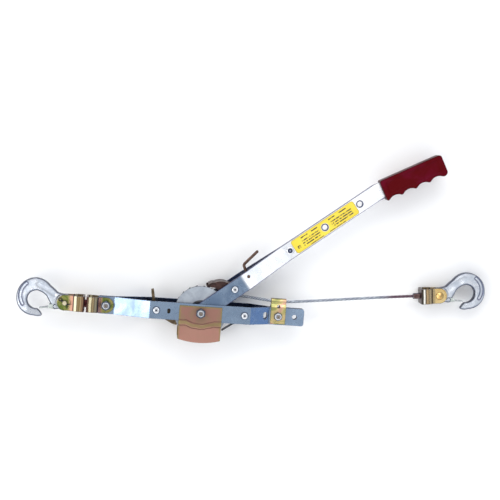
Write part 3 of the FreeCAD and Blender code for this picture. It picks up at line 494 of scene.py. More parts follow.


# Ear colours, and bands by the distance from the pin as a share of BANDS_SPAN: chromate tints, with cream
# bands painted as highlights on the bends and near-black bands painted as shade at and beside the bends.
OLIVE = ((0.13, 0.19, 0.035), (0.4, 0.36, 0.12))
GOLD = ((0.58, 0.41, 0.16), (0.72, 0.55, 0.26))
BANDS_SPAN = 34.0
HOOK_TINT_AND_LIGHT = (
    (0.2, (0.6, 0.4, 0.24)), (0.38, (0.74, 0.36, 0.26)), (0.4, (0.04, 0.02, 0.03)),
    (0.435, (0.04, 0.02, 0.03)), (0.46, (0.96, 0.88, 0.58)), (0.55, (0.98, 0.92, 0.66)),
    (0.58, (0.1, 0.06, 0.03)), (0.62, (0.34, 0.25, 0.12)), (0.72, (0.22, 0.15, 0.06)),
    (0.75, (0.56, 0.44, 0.24)), (0.79, (0.24, 0.15, 0.08)), (0.86, (0.3, 0.18, 0.1)),
    (0.89, (0.04, 0.01, 0.015)), (1.0, (0.1, 0.01, 0.015)))
FRAME_TINT_AND_LIGHT = (
    (0.2, (0.6, 0.33, 0.22)), (0.34, (0.56, 0.27, 0.2)), (0.36, (0.04, 0.02, 0.03)),
    (0.415, (0.04, 0.02, 0.03)), (0.44, (0.34, 0.26, 0.13)), (0.5, (0.52, 0.42, 0.24)),
    (0.55, (0.28, 0.2, 0.1)), (0.62, (0.44, 0.34, 0.19)), (0.68, (0.2, 0.13, 0.06)),
    (0.72, (0.96, 0.88, 0.58)), (0.8, (0.98, 0.92, 0.66)), (0.83, (0.24, 0.16, 0.08)),
    (0.88, (0.04, 0.01, 0.015)), (1.0, (0.1, 0.01, 0.015)))
LOAD_TINT_AND_LIGHT = (
    (0.2, (0.7, 0.52, 0.25)), (0.35, (0.62, 0.44, 0.2)), (0.37, (0.05, 0.03, 0.02)),
    (0.42, (0.05, 0.03, 0.02)), (0.45, (0.62, 0.46, 0.25)), (0.56, (0.52, 0.38, 0.2)),
    (0.58, (0.1, 0.06, 0.03)), (0.61, (0.44, 0.32, 0.17)), (0.69, (0.4, 0.28, 0.15)),
    (0.71, (0.03, 0.02, 0.02)), (0.745, (0.03, 0.02, 0.02)), (0.76, (0.96, 0.95, 0.88)),
    (0.83, (0.96, 0.95, 0.88)), (0.85, (0.02, 0.02, 0.02)), (1.0, (0.02, 0.02, 0.02)))


def nut_colour(s):
    """Bright nuts: a stained thread in the middle, dark rings painted as shade at the thread's edges, a
    bright chamfer ring, and dark shade painted round the outside of each nut.
    """
    return s.ramp(s.from_centres(((0, 0), (GUIDE_BOLT, 0), (CLEVIS_BOLT, 0))), (
        (0.0, (0.4, 0.3, 0.22)), (0.1, (0.05, 0.04, 0.04)), (0.17, (0.46, 0.4, 0.34)),
        (0.3, (0.2, 0.19, 0.2)), (0.34, (0.02, 0.025, 0.04)), (0.4, (0.9, 0.92, 0.95)),
        (0.53, (0.92, 0.94, 0.96)), (0.58, (0.06, 0.08, 0.13)), (0.9, (0.11, 0.14, 0.2))))


def head_colour(s):
    """Rivet heads: dark shade painted in the hollow in the middle of a bright dome, then a grey rim and a
    dark outline painted as shade at its edge.
    """
    return s.ramp(s.from_centres(((-FRAME_RIVET, 0), (FRAME_RIVET, 0), on_lever(PAWL_PIN))), (
        (0.0, (0.06, 0.05, 0.07)), (0.12, (0.05, 0.05, 0.08)), (0.19, (0.66, 0.69, 0.74)),
        (0.42, (0.8, 0.83, 0.87)), (0.49, (0.42, 0.45, 0.5)), (0.55, (0.02, 0.03, 0.06))))


def latch_colour(s):
    """Latch strips: round each pivot a dark middle, a bright ring and an outer dark ring painted as
    shade, and a sheen that clouds along the strip.
    """
    pivots = [(at @ Vector((*LATCH_PIVOT, 0.0)) - AXLE) / MM for at in (AT_ANCHOR, AT_LOAD)]
    away = s.from_centres([(pivot.x, pivot.y) for pivot in pivots])
    strip = s.mix(s.between(s.noise(60.0, 3.0), 0.4, 0.6), (0.5, 0.55, 0.52), (0.72, 0.77, 0.76))
    ring = s.ramp(away, (
        (0.0, (0.03, 0.03, 0.06)), (0.09, (0.04, 0.04, 0.08)), (0.15, (0.74, 0.78, 0.82)),
        (0.26, (0.7, 0.74, 0.8)), (0.31, (0.03, 0.04, 0.09)), (0.38, (0.03, 0.04, 0.09))))
    return s.mix(s.between(away, 0.38, 0.44), ring, strip)


def lever_rivet_colour(s):
    """A rivet head with a bluish dot and a dark ring, painted as shade round its hollow, within its
    bright rim.
    """
    return s.ramp(s.from_centres((on_lever(LEVER_RIVET_AT),)), (
        (0.0, (0.5, 0.55, 0.68)), (0.1, (0.3, 0.34, 0.46)), (0.18, (0.03, 0.04, 0.08)),
        (0.38, (0.04, 0.05, 0.11)), (0.46, (0.86, 0.88, 0.92)), (0.62, (0.9, 0.91, 0.94))))


def guard_colour(s):
    """Copper-pink chromate with olive at the edges, olive painted as shade on the turned face of the
    curved step, and dark lines painted as shade where the step bends.
    """
    x, y = s.along()
    # The step is lowest in the middle, 22.6 mm from the axle, and 5.3 mm higher from 23 mm out.
    reach = s.math("MINIMUM", s.over(s.absolute(x), 23.0), 1.0)
    step = s.minus(s.times(s.times(reach, reach), 5.3), 22.6)
    wobble = s.times(s.minus(s.noise(70.0, 3.0), 0.5), 5.0)
    away = s.absolute(s.plus(s.minus(y, step), wobble))
    step_face_shade = s.between(away, 4.6, 2.0)
    side = s.plus(s.absolute(x), s.times(wobble, 0.8))
    top = s.plus(y, s.times(wobble, 0.6))
    rim = s.most(s.between(side, 31.0, 35.5), s.between(top, 7.6, 10.8))
    lower = s.between(y, -14.0, -30.0)
    drift = s.between(s.noise(34.0, 3.0, 0.6, twist=0.8), 0.36, 0.66)
    pink = s.mix(drift, (0.335, 0.165, 0.13), (0.3, 0.185, 0.12))
    pink = s.laid(pink, lower, 0.7, (0.49, 0.24, 0.19))
    # The olive along the step is painted shade on its turned face.
    base = s.laid(pink, step_face_shade, 0.85, (0.17, 0.125, 0.045))
    base = s.laid(base, rim, 0.75, (0.26, 0.23, 0.06))
    # Dark lines on either side of the step, painted as shade at its bends.
    line = s.times(s.between(away, 6.2, 5.2), s.between(away, 3.6, 4.6))
    return s.mix(line, base, (0.17, 0.08, 0.06))


def strap_colour(s):
    """Bright lever strap with a blue lower end by the drum, the change at the bend being a painted change
    of light; a patch of painted shade past the bend, dark outlines painted as shade along its long edges,
    and dark rings painted as shade round the punched holes.
    """
    run, off = s.along(LEVER_TURN)
    drift = s.between(s.noise(26.0, 4.0, 0.6, twist=0.6), 0.35, 0.65)
    bright = s.mix(drift, (0.8, 0.83, 0.88), (0.92, 0.93, 0.95))
    # A patch a little past the bend, painted a little darker as shade.
    painted_field_shade = s.times(s.between(run, 97.0, 100.0), s.between(run, 165.0, 120.0))
    bright = s.laid(bright, painted_field_shade, s.between(drift, 0.0, 1.0, 0.75, 0.35), (0.66, 0.7, 0.77))
    blue = s.mix(drift, (0.125, 0.19, 0.3), (0.205, 0.285, 0.4))
    # Blue below the bend and bright above it: a painted change of light.
    base = s.mix(s.between(run, 85.0, 92.0), blue, bright)
    # Dark outlines painted as shade along the strap's long edges.
    base = s.laid(base, s.between(s.absolute(off), 12.7, 13.5), 0.85, (0.08, 0.07, 0.17))
    # Dark rings painted as shade round the punched holes.
    away = s.from_centres((on_lever(MIDDLE_HOLE), on_lever(LAST_HOLE)))
    return s.laid(base, s.between(away, 0.66, 0.61), 0.97, (0.03, 0.035, 0.09))


# Painted shade: the dark colour for the side faces of the small bright parts. The side and inner-face
# colours of the finishes below are painted shade as well, and their dark edge colours are dark outlines
# painted as shade.
SIDE_SHADE = (0.03, 0.04, 0.09)
ZINC = plated(
    "plate_zinc", (0.33, 0.44, 0.595), (0.25, 0.34, 0.475), metal=0.95, rough=(0.2, 0.3),
    edge_wear_and_shade=(0.06, 0.09, 0.17), edge_wear_and_shade_share=0.8, edge=0.001, side=(0.03, 0.05, 0.13),
    inner_face_shade=(0.012, 0.022, 0.075))
STRAP = plated(
    "lever_zinc", None, (0.36, 0.42, 0.52), metal=0.55, rough=(0.2, 0.3), turn=LEVER_TURN, brush=0.25,
    colour=strap_colour, edge_wear_and_shade=(0.05, 0.05, 0.11), edge_wear_and_shade_share=0.9, edge=0.0013, scratches=0.1,
    side=(0.05, 0.06, 0.12), inner_face_shade=(0.012, 0.022, 0.075))
BRIGHT = plated(
    "bright_zinc", (0.66, 0.7, 0.76), (0.44, 0.48, 0.55), metal=0.85, rough=(0.18, 0.32), brush=0.15,
    cloud=90.0, edge=0.0005, side=SIDE_SHADE)
SMALL = dict(light=(0.66, 0.7, 0.76), rough=(0.2, 0.3), brush=0.1, scratches=0.1)
NUTS = plated(
    "nut_zinc", dark=(0.3, 0.34, 0.4), metal=0.8, edge_wear_and_shade=(0.1, 0.12, 0.17), edge=0.0005,
    colour=nut_colour, side=SIDE_SHADE, **SMALL)
HEADS = plated(
    "head_zinc", dark=(0.3, 0.34, 0.4), metal=0.8, edge_wear_and_shade_share=0.1, colour=head_colour, side=SIDE_SHADE,
    **SMALL)
LEVER_RIVET = plated(
    "lever_rivet_zinc", dark=(0.1, 0.12, 0.17), metal=0.8, edge_wear_and_shade_share=0.1, colour=lever_rivet_colour,
    side=SIDE_SHADE, **SMALL)
LATCH = plated(
    "latch_zinc", dark=(0.3, 0.34, 0.4), metal=0.75, edge_wear_and_shade=(0.1, 0.12, 0.16), edge_wear_and_shade_share=0.7,
    edge=0.0008, colour=latch_colour, side=(0.1, 0.12, 0.17), **SMALL)
CHROMATE = dict(
    metal=0.75, rough=(0.22, 0.34), turn=90.0, brush=0.3, scratches=0.15, edge_wear_and_shade=(0.03, 0.02, 0.02),
    edge_wear_and_shade_share=0.95, edge=0.0013, side=(0.05, 0.02, 0.02))
YELLOW = plated("yellow_chromate", None, (0.36, 0.27, 0.12), colour=rainbow_zinc, **CHROMATE)
HOOK_YOKE = plated(
    "hook_yoke_chromate", None, (0.3, 0.22, 0.1),
    colour=yoke_colour(ANCHOR_PIN, 0, 0.0, 1, OLIVE, HOOK_TINT_AND_LIGHT), **CHROMATE)
FRAME_YOKE = plated(
    "frame_yoke_chromate", None, (0.3, 0.22, 0.1),
    colour=yoke_colour(CLEVIS_BOLT, 0, 0.0, -1, OLIVE, FRAME_TINT_AND_LIGHT), **CHROMATE)
LOAD_YOKE = plated(
    "load_yoke_chromate", None, (0.36, 0.25, 0.1),
    colour=yoke_colour(*LOAD_PIN[:2], LOAD_TURN, -1, GOLD, LOAD_TINT_AND_LIGHT), **CHROMATE)
PIN = dict(rough=(0.2, 0.3), brush=0.1, cloud=160.0, edge=0.0012, side=(0.05, 0.03, 0.02))
PIN_GOLD = plated(
    "pin_gold_chromate", (0.78, 0.55, 0.22), (0.5, 0.3, 0.1), metal=0.85, edge_wear_and_shade=(0.06, 0.04, 0.03),
    edge_wear_and_shade_share=0.9, **PIN)
PIN_PALE = plated(
    "pin_pale_chromate", (0.92, 0.88, 0.66), (0.6, 0.52, 0.34), metal=0.7, edge_wear_and_shade=(0.03, 0.02, 0.02),
    edge_wear_and_shade_share=0.95, **PIN)
SWIVEL = plated(
    "swivel_oxide", (0.12, 0.012, 0.016), (0.05, 0.008, 0.01), metal=0.6, rough=(0.35, 0.5), brush=0.2,
    cloud=160.0, edge_wear_and_shade=(0.2, 0.05, 0.05), edge_wear_and_shade_share=0.5)
COTTER = plated(
    "cotter_dark", (0.035, 0.035, 0.05), (0.02, 0.02, 0.03), rough=(0.3, 0.45), brush=0.3, cloud=160.0,
    edge_wear_and_shade=(0.1, 0.1, 0.12), edge_wear_and_shade_share=0.3)
GUARD = plated(
    "guard_chromate", None, (0.22, 0.14, 0.09), metal=0.5, rough=(0.3, 0.42), turn=90.0, brush=0.35,
    colour=guard_colour, edge_wear_and_shade=(0.2, 0.15, 0.05), edge_wear_and_shade_share=0.8, scratches=0.1, side=(0.1, 0.07, 0.04))
DISC = plated(
    "drum_cover_grey", (0.5, 0.55, 0.61), (0.36, 0.4, 0.46), metal=0.6, rough=(0.3, 0.45), brush=0.2,
    cloud=40.0, scratches=0.5, edge_wear_and_shade=(0.2, 0.22, 0.27), side=SIDE_SHADE)
RATCHET = plated(
    "ratchet_blackened", (0.16, 0.16, 0.17), (0.08, 0.08, 0.09), rough=(0.3, 0.45), brush=0.2,
    cloud=120.0, edge_wear_and_shade=(0.34, 0.35, 0.37), edge_wear_and_shade_share=0.8)
PAWL = plated(
    "pawl_brown_black", (0.1, 0.055, 0.05), (0.035, 0.022, 0.022), metal=0.8, rough=(0.3, 0.5),
    brush=0.1, cloud=110.0, edge_wear_and_shade=(0.32, 0.22, 0.17), edge_wear_and_shade_share=0.55, edge=0.0009)
ROD = plated(
    "rod_bronze_brown", (0.2, 0.13, 0.1), (0.1, 0.06, 0.05), metal=0.85, rough=(0.3, 0.46), brush=0.3,
    cloud=140.0, edge_wear_and_shade=(0.4, 0.3, 0.24), edge_wear_and_shade_share=0.4)
TAIL = plated(
    "pawl_bronze", (0.26, 0.2, 0.12), (0.11, 0.08, 0.05), metal=0.85, rough=(0.28, 0.44), brush=0.1,
    cloud=110.0, edge_wear_and_shade=(0.45, 0.38, 0.24), edge_wear_and_shade_share=0.55)
SPRING = plated(
    "spring_dark", (0.1, 0.105, 0.125), (0.05, 0.055, 0.07), rough=(0.25, 0.4), brush=0.6, cloud=160.0,
    edge_wear_and_shade=(0.3, 0.3, 0.32), edge_wear_and_shade_share=0.3)
FERRULE = plated(
    "ferrule_steel", (0.2, 0.13, 0.12), (0.09, 0.05, 0.05), metal=0.85, rough=(0.25, 0.4), brush=0.3,
    cloud=140.0, side=SIDE_SHADE)


def rope_finish():
    """Galvanised wires: fine lines along the strands, dark shade painted in the lay between the strands,
    darker near the ferrule.
    """
    s = Shader("rope_galvanised")
    run, around, _ = s.split(s.node("ShaderNodeUVMap", uv_map="rope").outputs[0])
    wires = s.math("SINE", s.times(around, 2 * pi * 36))
    wires = s.plus(s.times(wires, 0.5), 0.5)
    dull = s.between(s.noise(120.0, 4.0, 0.6), 0.4, 0.7)
    end = s.between(run, run_length * 100 - 6.5, run_length * 100 - 3.0)
    base = s.mix(dull, (0.66, 0.72, 0.8), (0.46, 0.52, 0.6))
    base = s.laid(base, s.between(wires, 0.35, 0.0), 0.45, (0.16, 0.17, 0.2))
    # The grooves of the lay are painted near-black as shade.
    turns = s.minus(around, s.over(run, ROPE_LAY * 100))
    groove = s.math("COSINE", s.times(turns, 2 * pi * 6))
    base = s.laid(base, s.between(groove, -0.45, 0.35), 0.97, (0.015, 0.02, 0.05))
    base = s.laid(base, end, 0.85, (0.09, 0.03, 0.05))
    return s.finish(colour=base, metal=0.8, rough=s.plus(s.times(dull, 0.15), 0.3),
                    normal=s.bump(wires, 0.5, 0.00008))


def grip_finish():
    """Moulded vinyl: deep maroon with a purple bloom on the skin, fine grain, a dusting of scuffs, and
    dark shade painted on its rounded edges and its sides.
    """
    s = Shader("grip_maroon_vinyl")
    bloom = s.between(s.noise(24.0, 3.0, 0.55, twist=0.8), 0.4, 0.68)
    grain = s.node("ShaderNodeTexVoronoi", {"Vector": s.where, "Scale": 1700.0}).outputs["Distance"]
    pits = s.noise(650.0, 3.0, 0.6)
    scuff = s.times(s.between(s.noise(1.0, 3.0, 0.6, s.mapped((40, 260, 200), 12)), 0.6, 0.75), 0.3)
    base = s.mix(bloom, (0.09, 0.001, 0.003), (0.115, 0.002, 0.014))
    soft, mask = s.edges(0.0024)
    # Rounded edges painted dark as shade.
    base = s.laid(base, mask, 0.85, (0.018, 0.001, 0.002))
    base = s.laid(base, scuff, 0.25, (0.22, 0.06, 0.08))
    # Side faces painted dark as shade.
    base = s.laid(base, s.sides(0.2, 0.7), 0.75, (0.025, 0.002, 0.004))
    height = s.plus(grain, s.times(pits, 0.8))
    shine = s.plus(s.times(bloom, 0.1), s.plus(scuff, 0.3))
    return s.finish(colour=base, metal=0.0, rough=shine, specular=0.05,
                    normal=s.bump(height, 0.35, 0.00012, soft))


LABEL_HALF, LABEL_TALL, LABEL_CORNER = 62.0, 12.2, 4.5
# Solid bars on the sticker: start and end along the lever, low and high edge across it.
HEAD_BARS = ((205, 219, 6.6, 8.8), (226, 239, 6.6, 8.8), (260, 273, 6.6, 8.8), (281, 295, 6.6, 8.8),
             (214, 240, -11.0, -9.7), (252, 284, -11.0, -9.7), (193.0, 198.5, -6.0, -1.0))
TEXT_BLOCKS = ((204, 238, -8.1, 4.1), (261, 302, -8.1, 4.1))


def label_finish():
    """Yellow film printed with plain dark bars in two blocks, each under heavier bars."""
    s = Shader("label_yellow_film")
    run, rise = s.along(LEVER_TURN)

    def blocks(corners):
        whole = None
        for start, end, low, high in corners:
            wide = s.times(s.between(run, start, start + 0.3), s.between(run, end, end - 0.3))
            tall = s.times(s.between(rise, low, low + 0.2), s.between(rise, high, high - 0.2))
            block = s.times(wide, tall)
            whole = block if whole is None else s.most(whole, block)
        return whole

    rows = s.over(rise, 4.0)
    row = s.math("FLOOR", rows)
    bars = s.between(s.absolute(s.minus(s.math("FRACT", rows), 0.5)), 0.29, 0.22)
    at = s.node("ShaderNodeCombineXYZ", {0: s.times(run, 0.42), 1: s.times(row, 3.7)}).outputs[0]
    words = s.between(s.noise(1.0, 1.0, 0.5, at), 0.36, 0.42)
    print_mask = s.times(s.times(bars, blocks(TEXT_BLOCKS)), words)
    worn = s.between(s.noise(260.0, 3.0, 0.6), 0.3, 0.52)
    ink = s.times(s.most(print_mask, blocks(HEAD_BARS)), worn)
    fade = s.between(s.noise(30.0, 3.0), 0.35, 0.7)
    base = s.mix(fade, (0.82, 0.62, 0.032), (0.9, 0.71, 0.062))
    base = s.mix(ink, base, (0.03, 0.025, 0.02))
    along = s.absolute(s.minus(run, MIDDLE_HOLE))
    along = s.most(s.minus(along, LABEL_HALF - LABEL_CORNER), 0.0)
    over = s.most(s.minus(s.absolute(rise), LABEL_TALL - LABEL_CORNER), 0.0)
    corner = s.math("SQRT", s.plus(s.times(along, along), s.times(over, over)))
    base = s.mix(s.between(corner, 4.3, 4.9), base, (0.93, 0.94, 0.95))
    border = s.times(s.between(corner, 3.4, 3.9), s.between(corner, 4.9, 4.3))
    base = s.mix(border, base, (0.42, 0.3, 0.03))
    ripple = s.noise(90.0, 3.0, 0.5)
    return s.finish(colour=base, metal=0.0, rough=s.between(fade, 0.0, 1.0, 0.36, 0.48), coat=0.25,
                    coat_rough=0.2, normal=s.bump(ripple, 0.2, 0.0002))


def forged_finish():
    """Zinc over a forged skin: clouds and dimples, with dark shade painted on the sides, on faces that
    look towards −y, along the outline and in a line round the channel.
    """
    s = Shader("forged_zinc")
    clouds = s.noise(70.0, 5.0, 0.6, twist=0.8)
    dents = s.noise(230.0, 4.0, 0.6)
    line = s.node("ShaderNodeAttribute", attribute_name="channel_edge").outputs["Fac"]
    base = s.mix(s.between(clouds, 0.36, 0.64), (0.52, 0.57, 0.65), (0.72, 0.76, 0.83))
    spots = s.between(s.noise(420.0, 2.0, 0.5), 0.64, 0.72)
    base = s.laid(base, spots, 0.3, (0.25, 0.28, 0.34))
    # A dark line painted as shade round the channel's lip.
    base = s.mix(line, base, (0.05, 0.055, 0.13))
    # Faces that look towards −y, painted dark as shade.
    low = s.between(s.facing()[1], -0.05, -0.5)
    base = s.laid(base, low, 0.9, (0.045, 0.075, 0.15))
    # A dark outline painted as shade near the forging's outline.
    rim = s.node("ShaderNodeAttribute", attribute_name="rim").outputs["Fac"]
    base = s.mix(rim, base, (0.02, 0.022, 0.05))
    # Side faces painted dark as shade.
    base = s.laid(base, s.sides(0.35, 0.85), 0.93, (0.04, 0.05, 0.09))
    return s.finish(colour=base, metal=0.85, rough=s.between(clouds, 0.3, 0.7, 0.36, 0.24),
                    normal=s.bump(dents, 0.2, 0.0003))


def floor_finish():
    """Plain pale floor with hardly visible drift and grain."""
    s = Shader("pale_floor")
    drift = s.noise(3.0, 3.0)
    grain = s.noise(900.0, 2.0)
    base = s.mix(drift, (0.955, 0.955, 0.955), (0.965, 0.965, 0.965))
    return s.finish(colour=base, rough=0.75, specular=0.1, normal=s.bump(grain, 0.05, 0.00005))


ROPE = rope_finish()
GRIP = grip_finish()
LABEL = label_finish()
FORGED = forged_finish()


def wear_finish(piece, material):
    piece.data.materials.clear()
    piece.data.materials.append(material)
    for polygon in piece.data.polygons:
        polygon.material_index = 0


def fit(piece, material, body, node=None):
    """Give a made piece its finish, slot and body, and hide the node that it stands for."""
    wear_finish(piece, material)
    if node:
        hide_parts(node)
    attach(piece, body)


wear_finish(cable_run, ROPE)
wear_finish(winding, ROPE)

FINISHES = {name: finish for finish, names in (
    (ZINC, "front_side_plate rear_side_plate"), (STRAP, "front_lever_strap rear_lever_strap"),
    (GUARD, "drum_guard"), (YELLOW, "cable_guide"), (FRAME_YOKE, "frame_clevis"),
    (HOOK_YOKE, "hook_clevis"), (LOAD_YOKE, "load_clevis"), (PIN_GOLD, "load_pin"),
    (PIN_PALE, "clevis_pin"), (SWIVEL, "swivel_pin"), (DISC, "front_disc rear_disc"),
    (RATCHET, "front_ratchet_wheel rear_ratchet_wheel drum_core drum_hub"), (PAWL, "drive_pawl"),
    (TAIL, "stop_pawl"), (ROD, "trip_rod"), (SPRING, "drag_spring stop_pawl_spring drive_pawl_spring"),
    (COTTER, "cotter_pin load_cotter_pin"), (FERRULE, "cable_ferrule"), (GRIP, "grip"),
    (LABEL, "lever_label"), (FORGED, "anchor_hook load_hook"), (LATCH, "anchor_latch load_latch"),
    (ROPE, "cable_run cable_winding"), (NUTS, "axle_nut guide_nut clevis_nut"),
) for name in names.split()}
for name, node in nodes.items():
    wear_finish(node, FINISHES.get(name, BRIGHT))

# ---- forged hooks


def along_arc(start, middle, end, count):
    """Points after start on the circle through three points."""
    (ax, ay), (bx, by), (cx, cy) = start, middle, end
    aa, bb, cc = (x ** 2 + y ** 2 for x, y in (start, middle, end))
    d = 2 * (ax * (by - cy) + bx * (cy - ay) + cx * (ay - by))
    ux = (aa * (by - cy) + bb * (cy - ay) + cc * (ay - by)) / d
    uy = (aa * (cx - bx) + bb * (ax - cx) + cc * (bx - ax)) / d
    r = hypot(ax - ux, ay - uy)
    angles = [atan2(y - uy, x - ux) for x, y in (start, middle, end)]
    whole = (angles[2] - angles[0]) % (2 * pi)
    if (angles[1] - angles[0]) % (2 * pi) > whole:
        whole -= 2 * pi
    return [(ux + r * cos(angles[0] + whole * i / count),
             uy + r * sin(angles[0] + whole * i / count)) for i in range(1, count + 1)]


def traced(corners, count=14):
    """A dense outline from corners, where a corner of four numbers is reached by an arc."""
    points = []
    for i, corner in enumerate(corners):
        before = tuple(corners[i - 1][:2])
        if len(corner) == 4:
            points += along_arc(before, tuple(corner[2:]), tuple(corner[:2]), count)
        else:
            points.append(tuple(corner))
    return points


def solid_from(outline, low, high):
    """A closed prism, as points and faces."""
    n = len(outline)
    points = [(x, y, low) for x, y in outline] + [(x, y, high) for x, y in outline]
    faces = [tuple(range(n))[::-1], tuple(range(n, 2 * n))]
    faces += [(i, (i + 1) % n, n + (i + 1) % n, n + i) for i in range(n)]
    return points, faces


def remeshed(piece, voxel, cutters, smooth):
    """Cut the cutters out, rebuild the skin as even quads and relax it, all applied to the mesh."""
    for cutter in cutters:
        cut = piece.modifiers.new("cut", "BOOLEAN")
        cut.operation = "DIFFERENCE"
        cut.solver = "EXACT"
        cut.object = cutter
    again = piece.modifiers.new("remesh", "REMESH")
    again.mode = "VOXEL"
    again.voxel_size = voxel
    again.use_smooth_shade = True
    relax = piece.modifiers.new("relax", "SMOOTH")
    relax.factor = 0.5
    relax.iterations = smooth
    bpy.context.view_layer.update()
    graph = bpy.context.evaluated_depsgraph_get()
    mesh = bpy.data.meshes.new_from_object(piece.evaluated_get(graph))
    piece.modifiers.clear()
    piece.data = mesh
    for cutter in cutters:
        bpy.data.objects.remove(cutter)


def vertex_array(piece):
    flat = np.zeros(len(piece.data.vertices) * 3, np.float64)
    piece.data.vertices.foreach_get("co", flat)
    return flat.reshape(-1, 3)


def set_vertices(piece, points):
    piece.data.vertices.foreach_set("co", points.astype(np.float32).reshape(-1))
    piece.data.update()


def step_between(value, low, high):
    """A smooth step from 0 to 1, for arrays."""
    t = np.clip((value - low) / (high - low), 0, 1)
    return t * t * (3 - 2 * t)


def from_line(points, line):
    """The distance of each point from a broken line, in the plane."""
    best = np.full(len(points), 1e9)
    for a, b in zip(line[:-1], line[1:]):
        a, b = np.array(a), np.array(b)
        t = np.clip(((points - a) @ (b - a)) / ((b - a) @ (b - a)), 0, 1)
        best = np.minimum(best, np.linalg.norm(points - a - t[:, None] * (b - a), axis=1))
    return best


BOWL_X, BOWL_Y, BOWL_RADIUS = 46.0, 1.5, 15.2
HOOK_HALF, EYE_HALF = 7.0, 6.0


def round_bowl(degrees):
    a = radians(degrees)
    return BOWL_X + BOWL_RADIUS * cos(a), BOWL_Y + BOWL_RADIUS * sin(a)


# The outline in millimetres from the pin; a corner of four numbers is the end of an arc and its middle.
HOOK = [
    (11.9, 15.2), (24.4, 25.6, 18.3, 20.9), (47.5, 37.4, 34.6, 33.8), (79.0, 6.0, 69.6, 28.4),
    (50.0, -25.0, 71.4, -15.6), (38.8, -25.2, 44.3, -25.9), (37.4, -20.6, 36.3, -23.2),
    round_bowl(-97) + (40.2, -16.8), round_bowl(90) + round_bowl(0), (30.4, 8.6) + round_bowl(130),
    (22.6, -4.6), (15.0, -12.4, 20.3, -9.8), (9.0, -11.0), (3.0, 13.1, -12.7, 0.0),
]


def forged_hook(name, matrix, node):
    """A forged hook: rounded section, thin eye and tip, web hollow, and an arc channel on both faces."""
    piece = new_piece(name, *solid_from(traced(HOOK), -HOOK_HALF, HOOK_HALF))
    holes = []
    for x, y, radius in ((0, 0, 3.97), (*LATCH_PIVOT, 1.75)):
        ring = [(x + radius * cos(2 * pi * i / 40), y + radius * sin(
            2 * pi * i / 40)) for i in range(40)]
        holes.append(new_piece("cutter", *solid_from(ring, -20, 20)))
    remeshed(piece, 0.62, holes, 9)
    at = vertex_array(piece)
    plane = at[:, :2]
    from_pin = np.linalg.norm(plane, axis=1)
    # The eye is thinner than the rest, the corners are round and the tip tapers.
    eye = EYE_HALF / HOOK_HALF
    thick = eye + (1 - eye) * step_between(from_pin, 13.6, 16.6)
    skin = from_line(plane, traced(HOOK) + [HOOK[0]])
    round_off = 1 - np.sqrt(np.clip(1 - (1 - np.clip(skin / 3.6, 0, 1)) ** 2, 0, 1))
    thick *= 1 - 0.42 * round_off * step_between(from_pin, 13.0, 18.0)
    from_tip = np.linalg.norm(plane - np.array((37.6, -22.6)), axis=1)
    thick *= 0.62 + 0.38 * step_between(from_tip, 0, 26)
    at[:, 2] *= thick
    # The channel with its raised lips, then the hollow web behind the eye.
    near = from_line(plane, traced([(63.4, 27.6), (68.2, -6.5, 72.3, 12.2)], 16))
    face = step_between(np.abs(at[:, 2]), 3.4, 5.2)
    at[:, 2] -= np.sign(at[:, 2]) * 1.25 * step_between(near, 2.7, 1.7) * face
    ridge = np.exp(-((near - 3.2) / 0.7) ** 2) * face
    at[:, 2] += np.sign(at[:, 2]) * 0.16 * ridge
    web = from_line(plane, [(17.5, 12.5), (30.0, 20.5), (44.0, 27.0)])
    at[:, 2] -= np.sign(at[:, 2]) * 0.45 * step_between(web, 5.2, 2.0) * face
    set_vertices(piece, at)
    # Masks for the finish: where it paints a dark line of shade round the channel and a dark outline of
    # shade along the rim.
    for mark, share in (("channel_edge", np.exp(-((near - 2.6) / 0.95) ** 2) * face),
                        ("rim", np.exp(-(skin / 1.7) ** 2))):
        layer = piece.data.attributes.new(mark, "FLOAT", "POINT")
        layer.data.foreach_set("value", share.astype(np.float32))
    piece.data.transform(matrix)
    if matrix.determinant() < 0:
        piece.data.flip_normals()
    fit(piece, FORGED, node, node)


forged_hook("anchor_hook_forging", AT_ANCHOR, "anchor_hook")
forged_hook("load_hook_forging", AT_LOAD, "load_hook")

# ---- grip


def moulded_grip():
    """The handle as one soft moulding, with a raised border round a sunken panel on each face."""
    top, peak, start, end, half_wide, groove = 16.4, -19.5, 10.5, 122.0, 12.0, 25
    outline = [(start, top - 3, start + 0.9, top - 0.9), (start, peak + 3.2)]
    first = start + 2.4
    outline.append((first + 1.6, peak + 0.58, start + 1.3, peak + 0.5))
    for i in range(4):
        low, high = first + groove * i, first + groove * (i + 1)
        outline.append((high - 1.6, peak + 0.58, (low + high) / 2, peak + 4.7))
        if i < 3:
            outline.append((high + 1.6, peak + 0.58, high, peak))
    outline += [(end, peak + 5, high + 5, peak + 0.4), (end, top - 6),
                (end - 5, top, end - 1.4, top - 1.5), (start + 3, top)]
    piece = new_piece("grip_moulding", *solid_from(traced(outline, 18), -half_wide, half_wide))
    remeshed(piece, 0.85, (), 13)
    at = vertex_array(piece)
    # The sunken panel and its border on both faces.
    middle = np.array(((start + end) / 2, -0.2))
    half = np.array(((end - start) / 2 - 8.5, 10.0))
    away = np.abs(at[:, :2] - middle) - half + 3.0
    distance = np.linalg.norm(np.maximum(away, 0), axis=1) + np.minimum(away.max(axis=1), 0) - 3.0
    face = step_between(np.abs(at[:, 2]), 6.0, 9.5)
    way = np.sign(at[:, 2])
    at[:, 2] -= way * 0.95 * step_between(distance, 0.9, -0.9) * face
    at[:, 2] += way * 0.12 * np.exp(-((distance - 1.6) / 0.8) ** 2) * face
    crown = np.clip(1 - ((at[:, 1] + 1.5) / 18.0) ** 2, 0, 1)
    at[:, 2] *= 0.965 + 0.035 * crown
    set_vertices(piece, at)
    piece.data.transform(AT_GRIP)
    fit(piece, GRIP, "lever", "grip")


moulded_grip()

# ---- springs and split pins


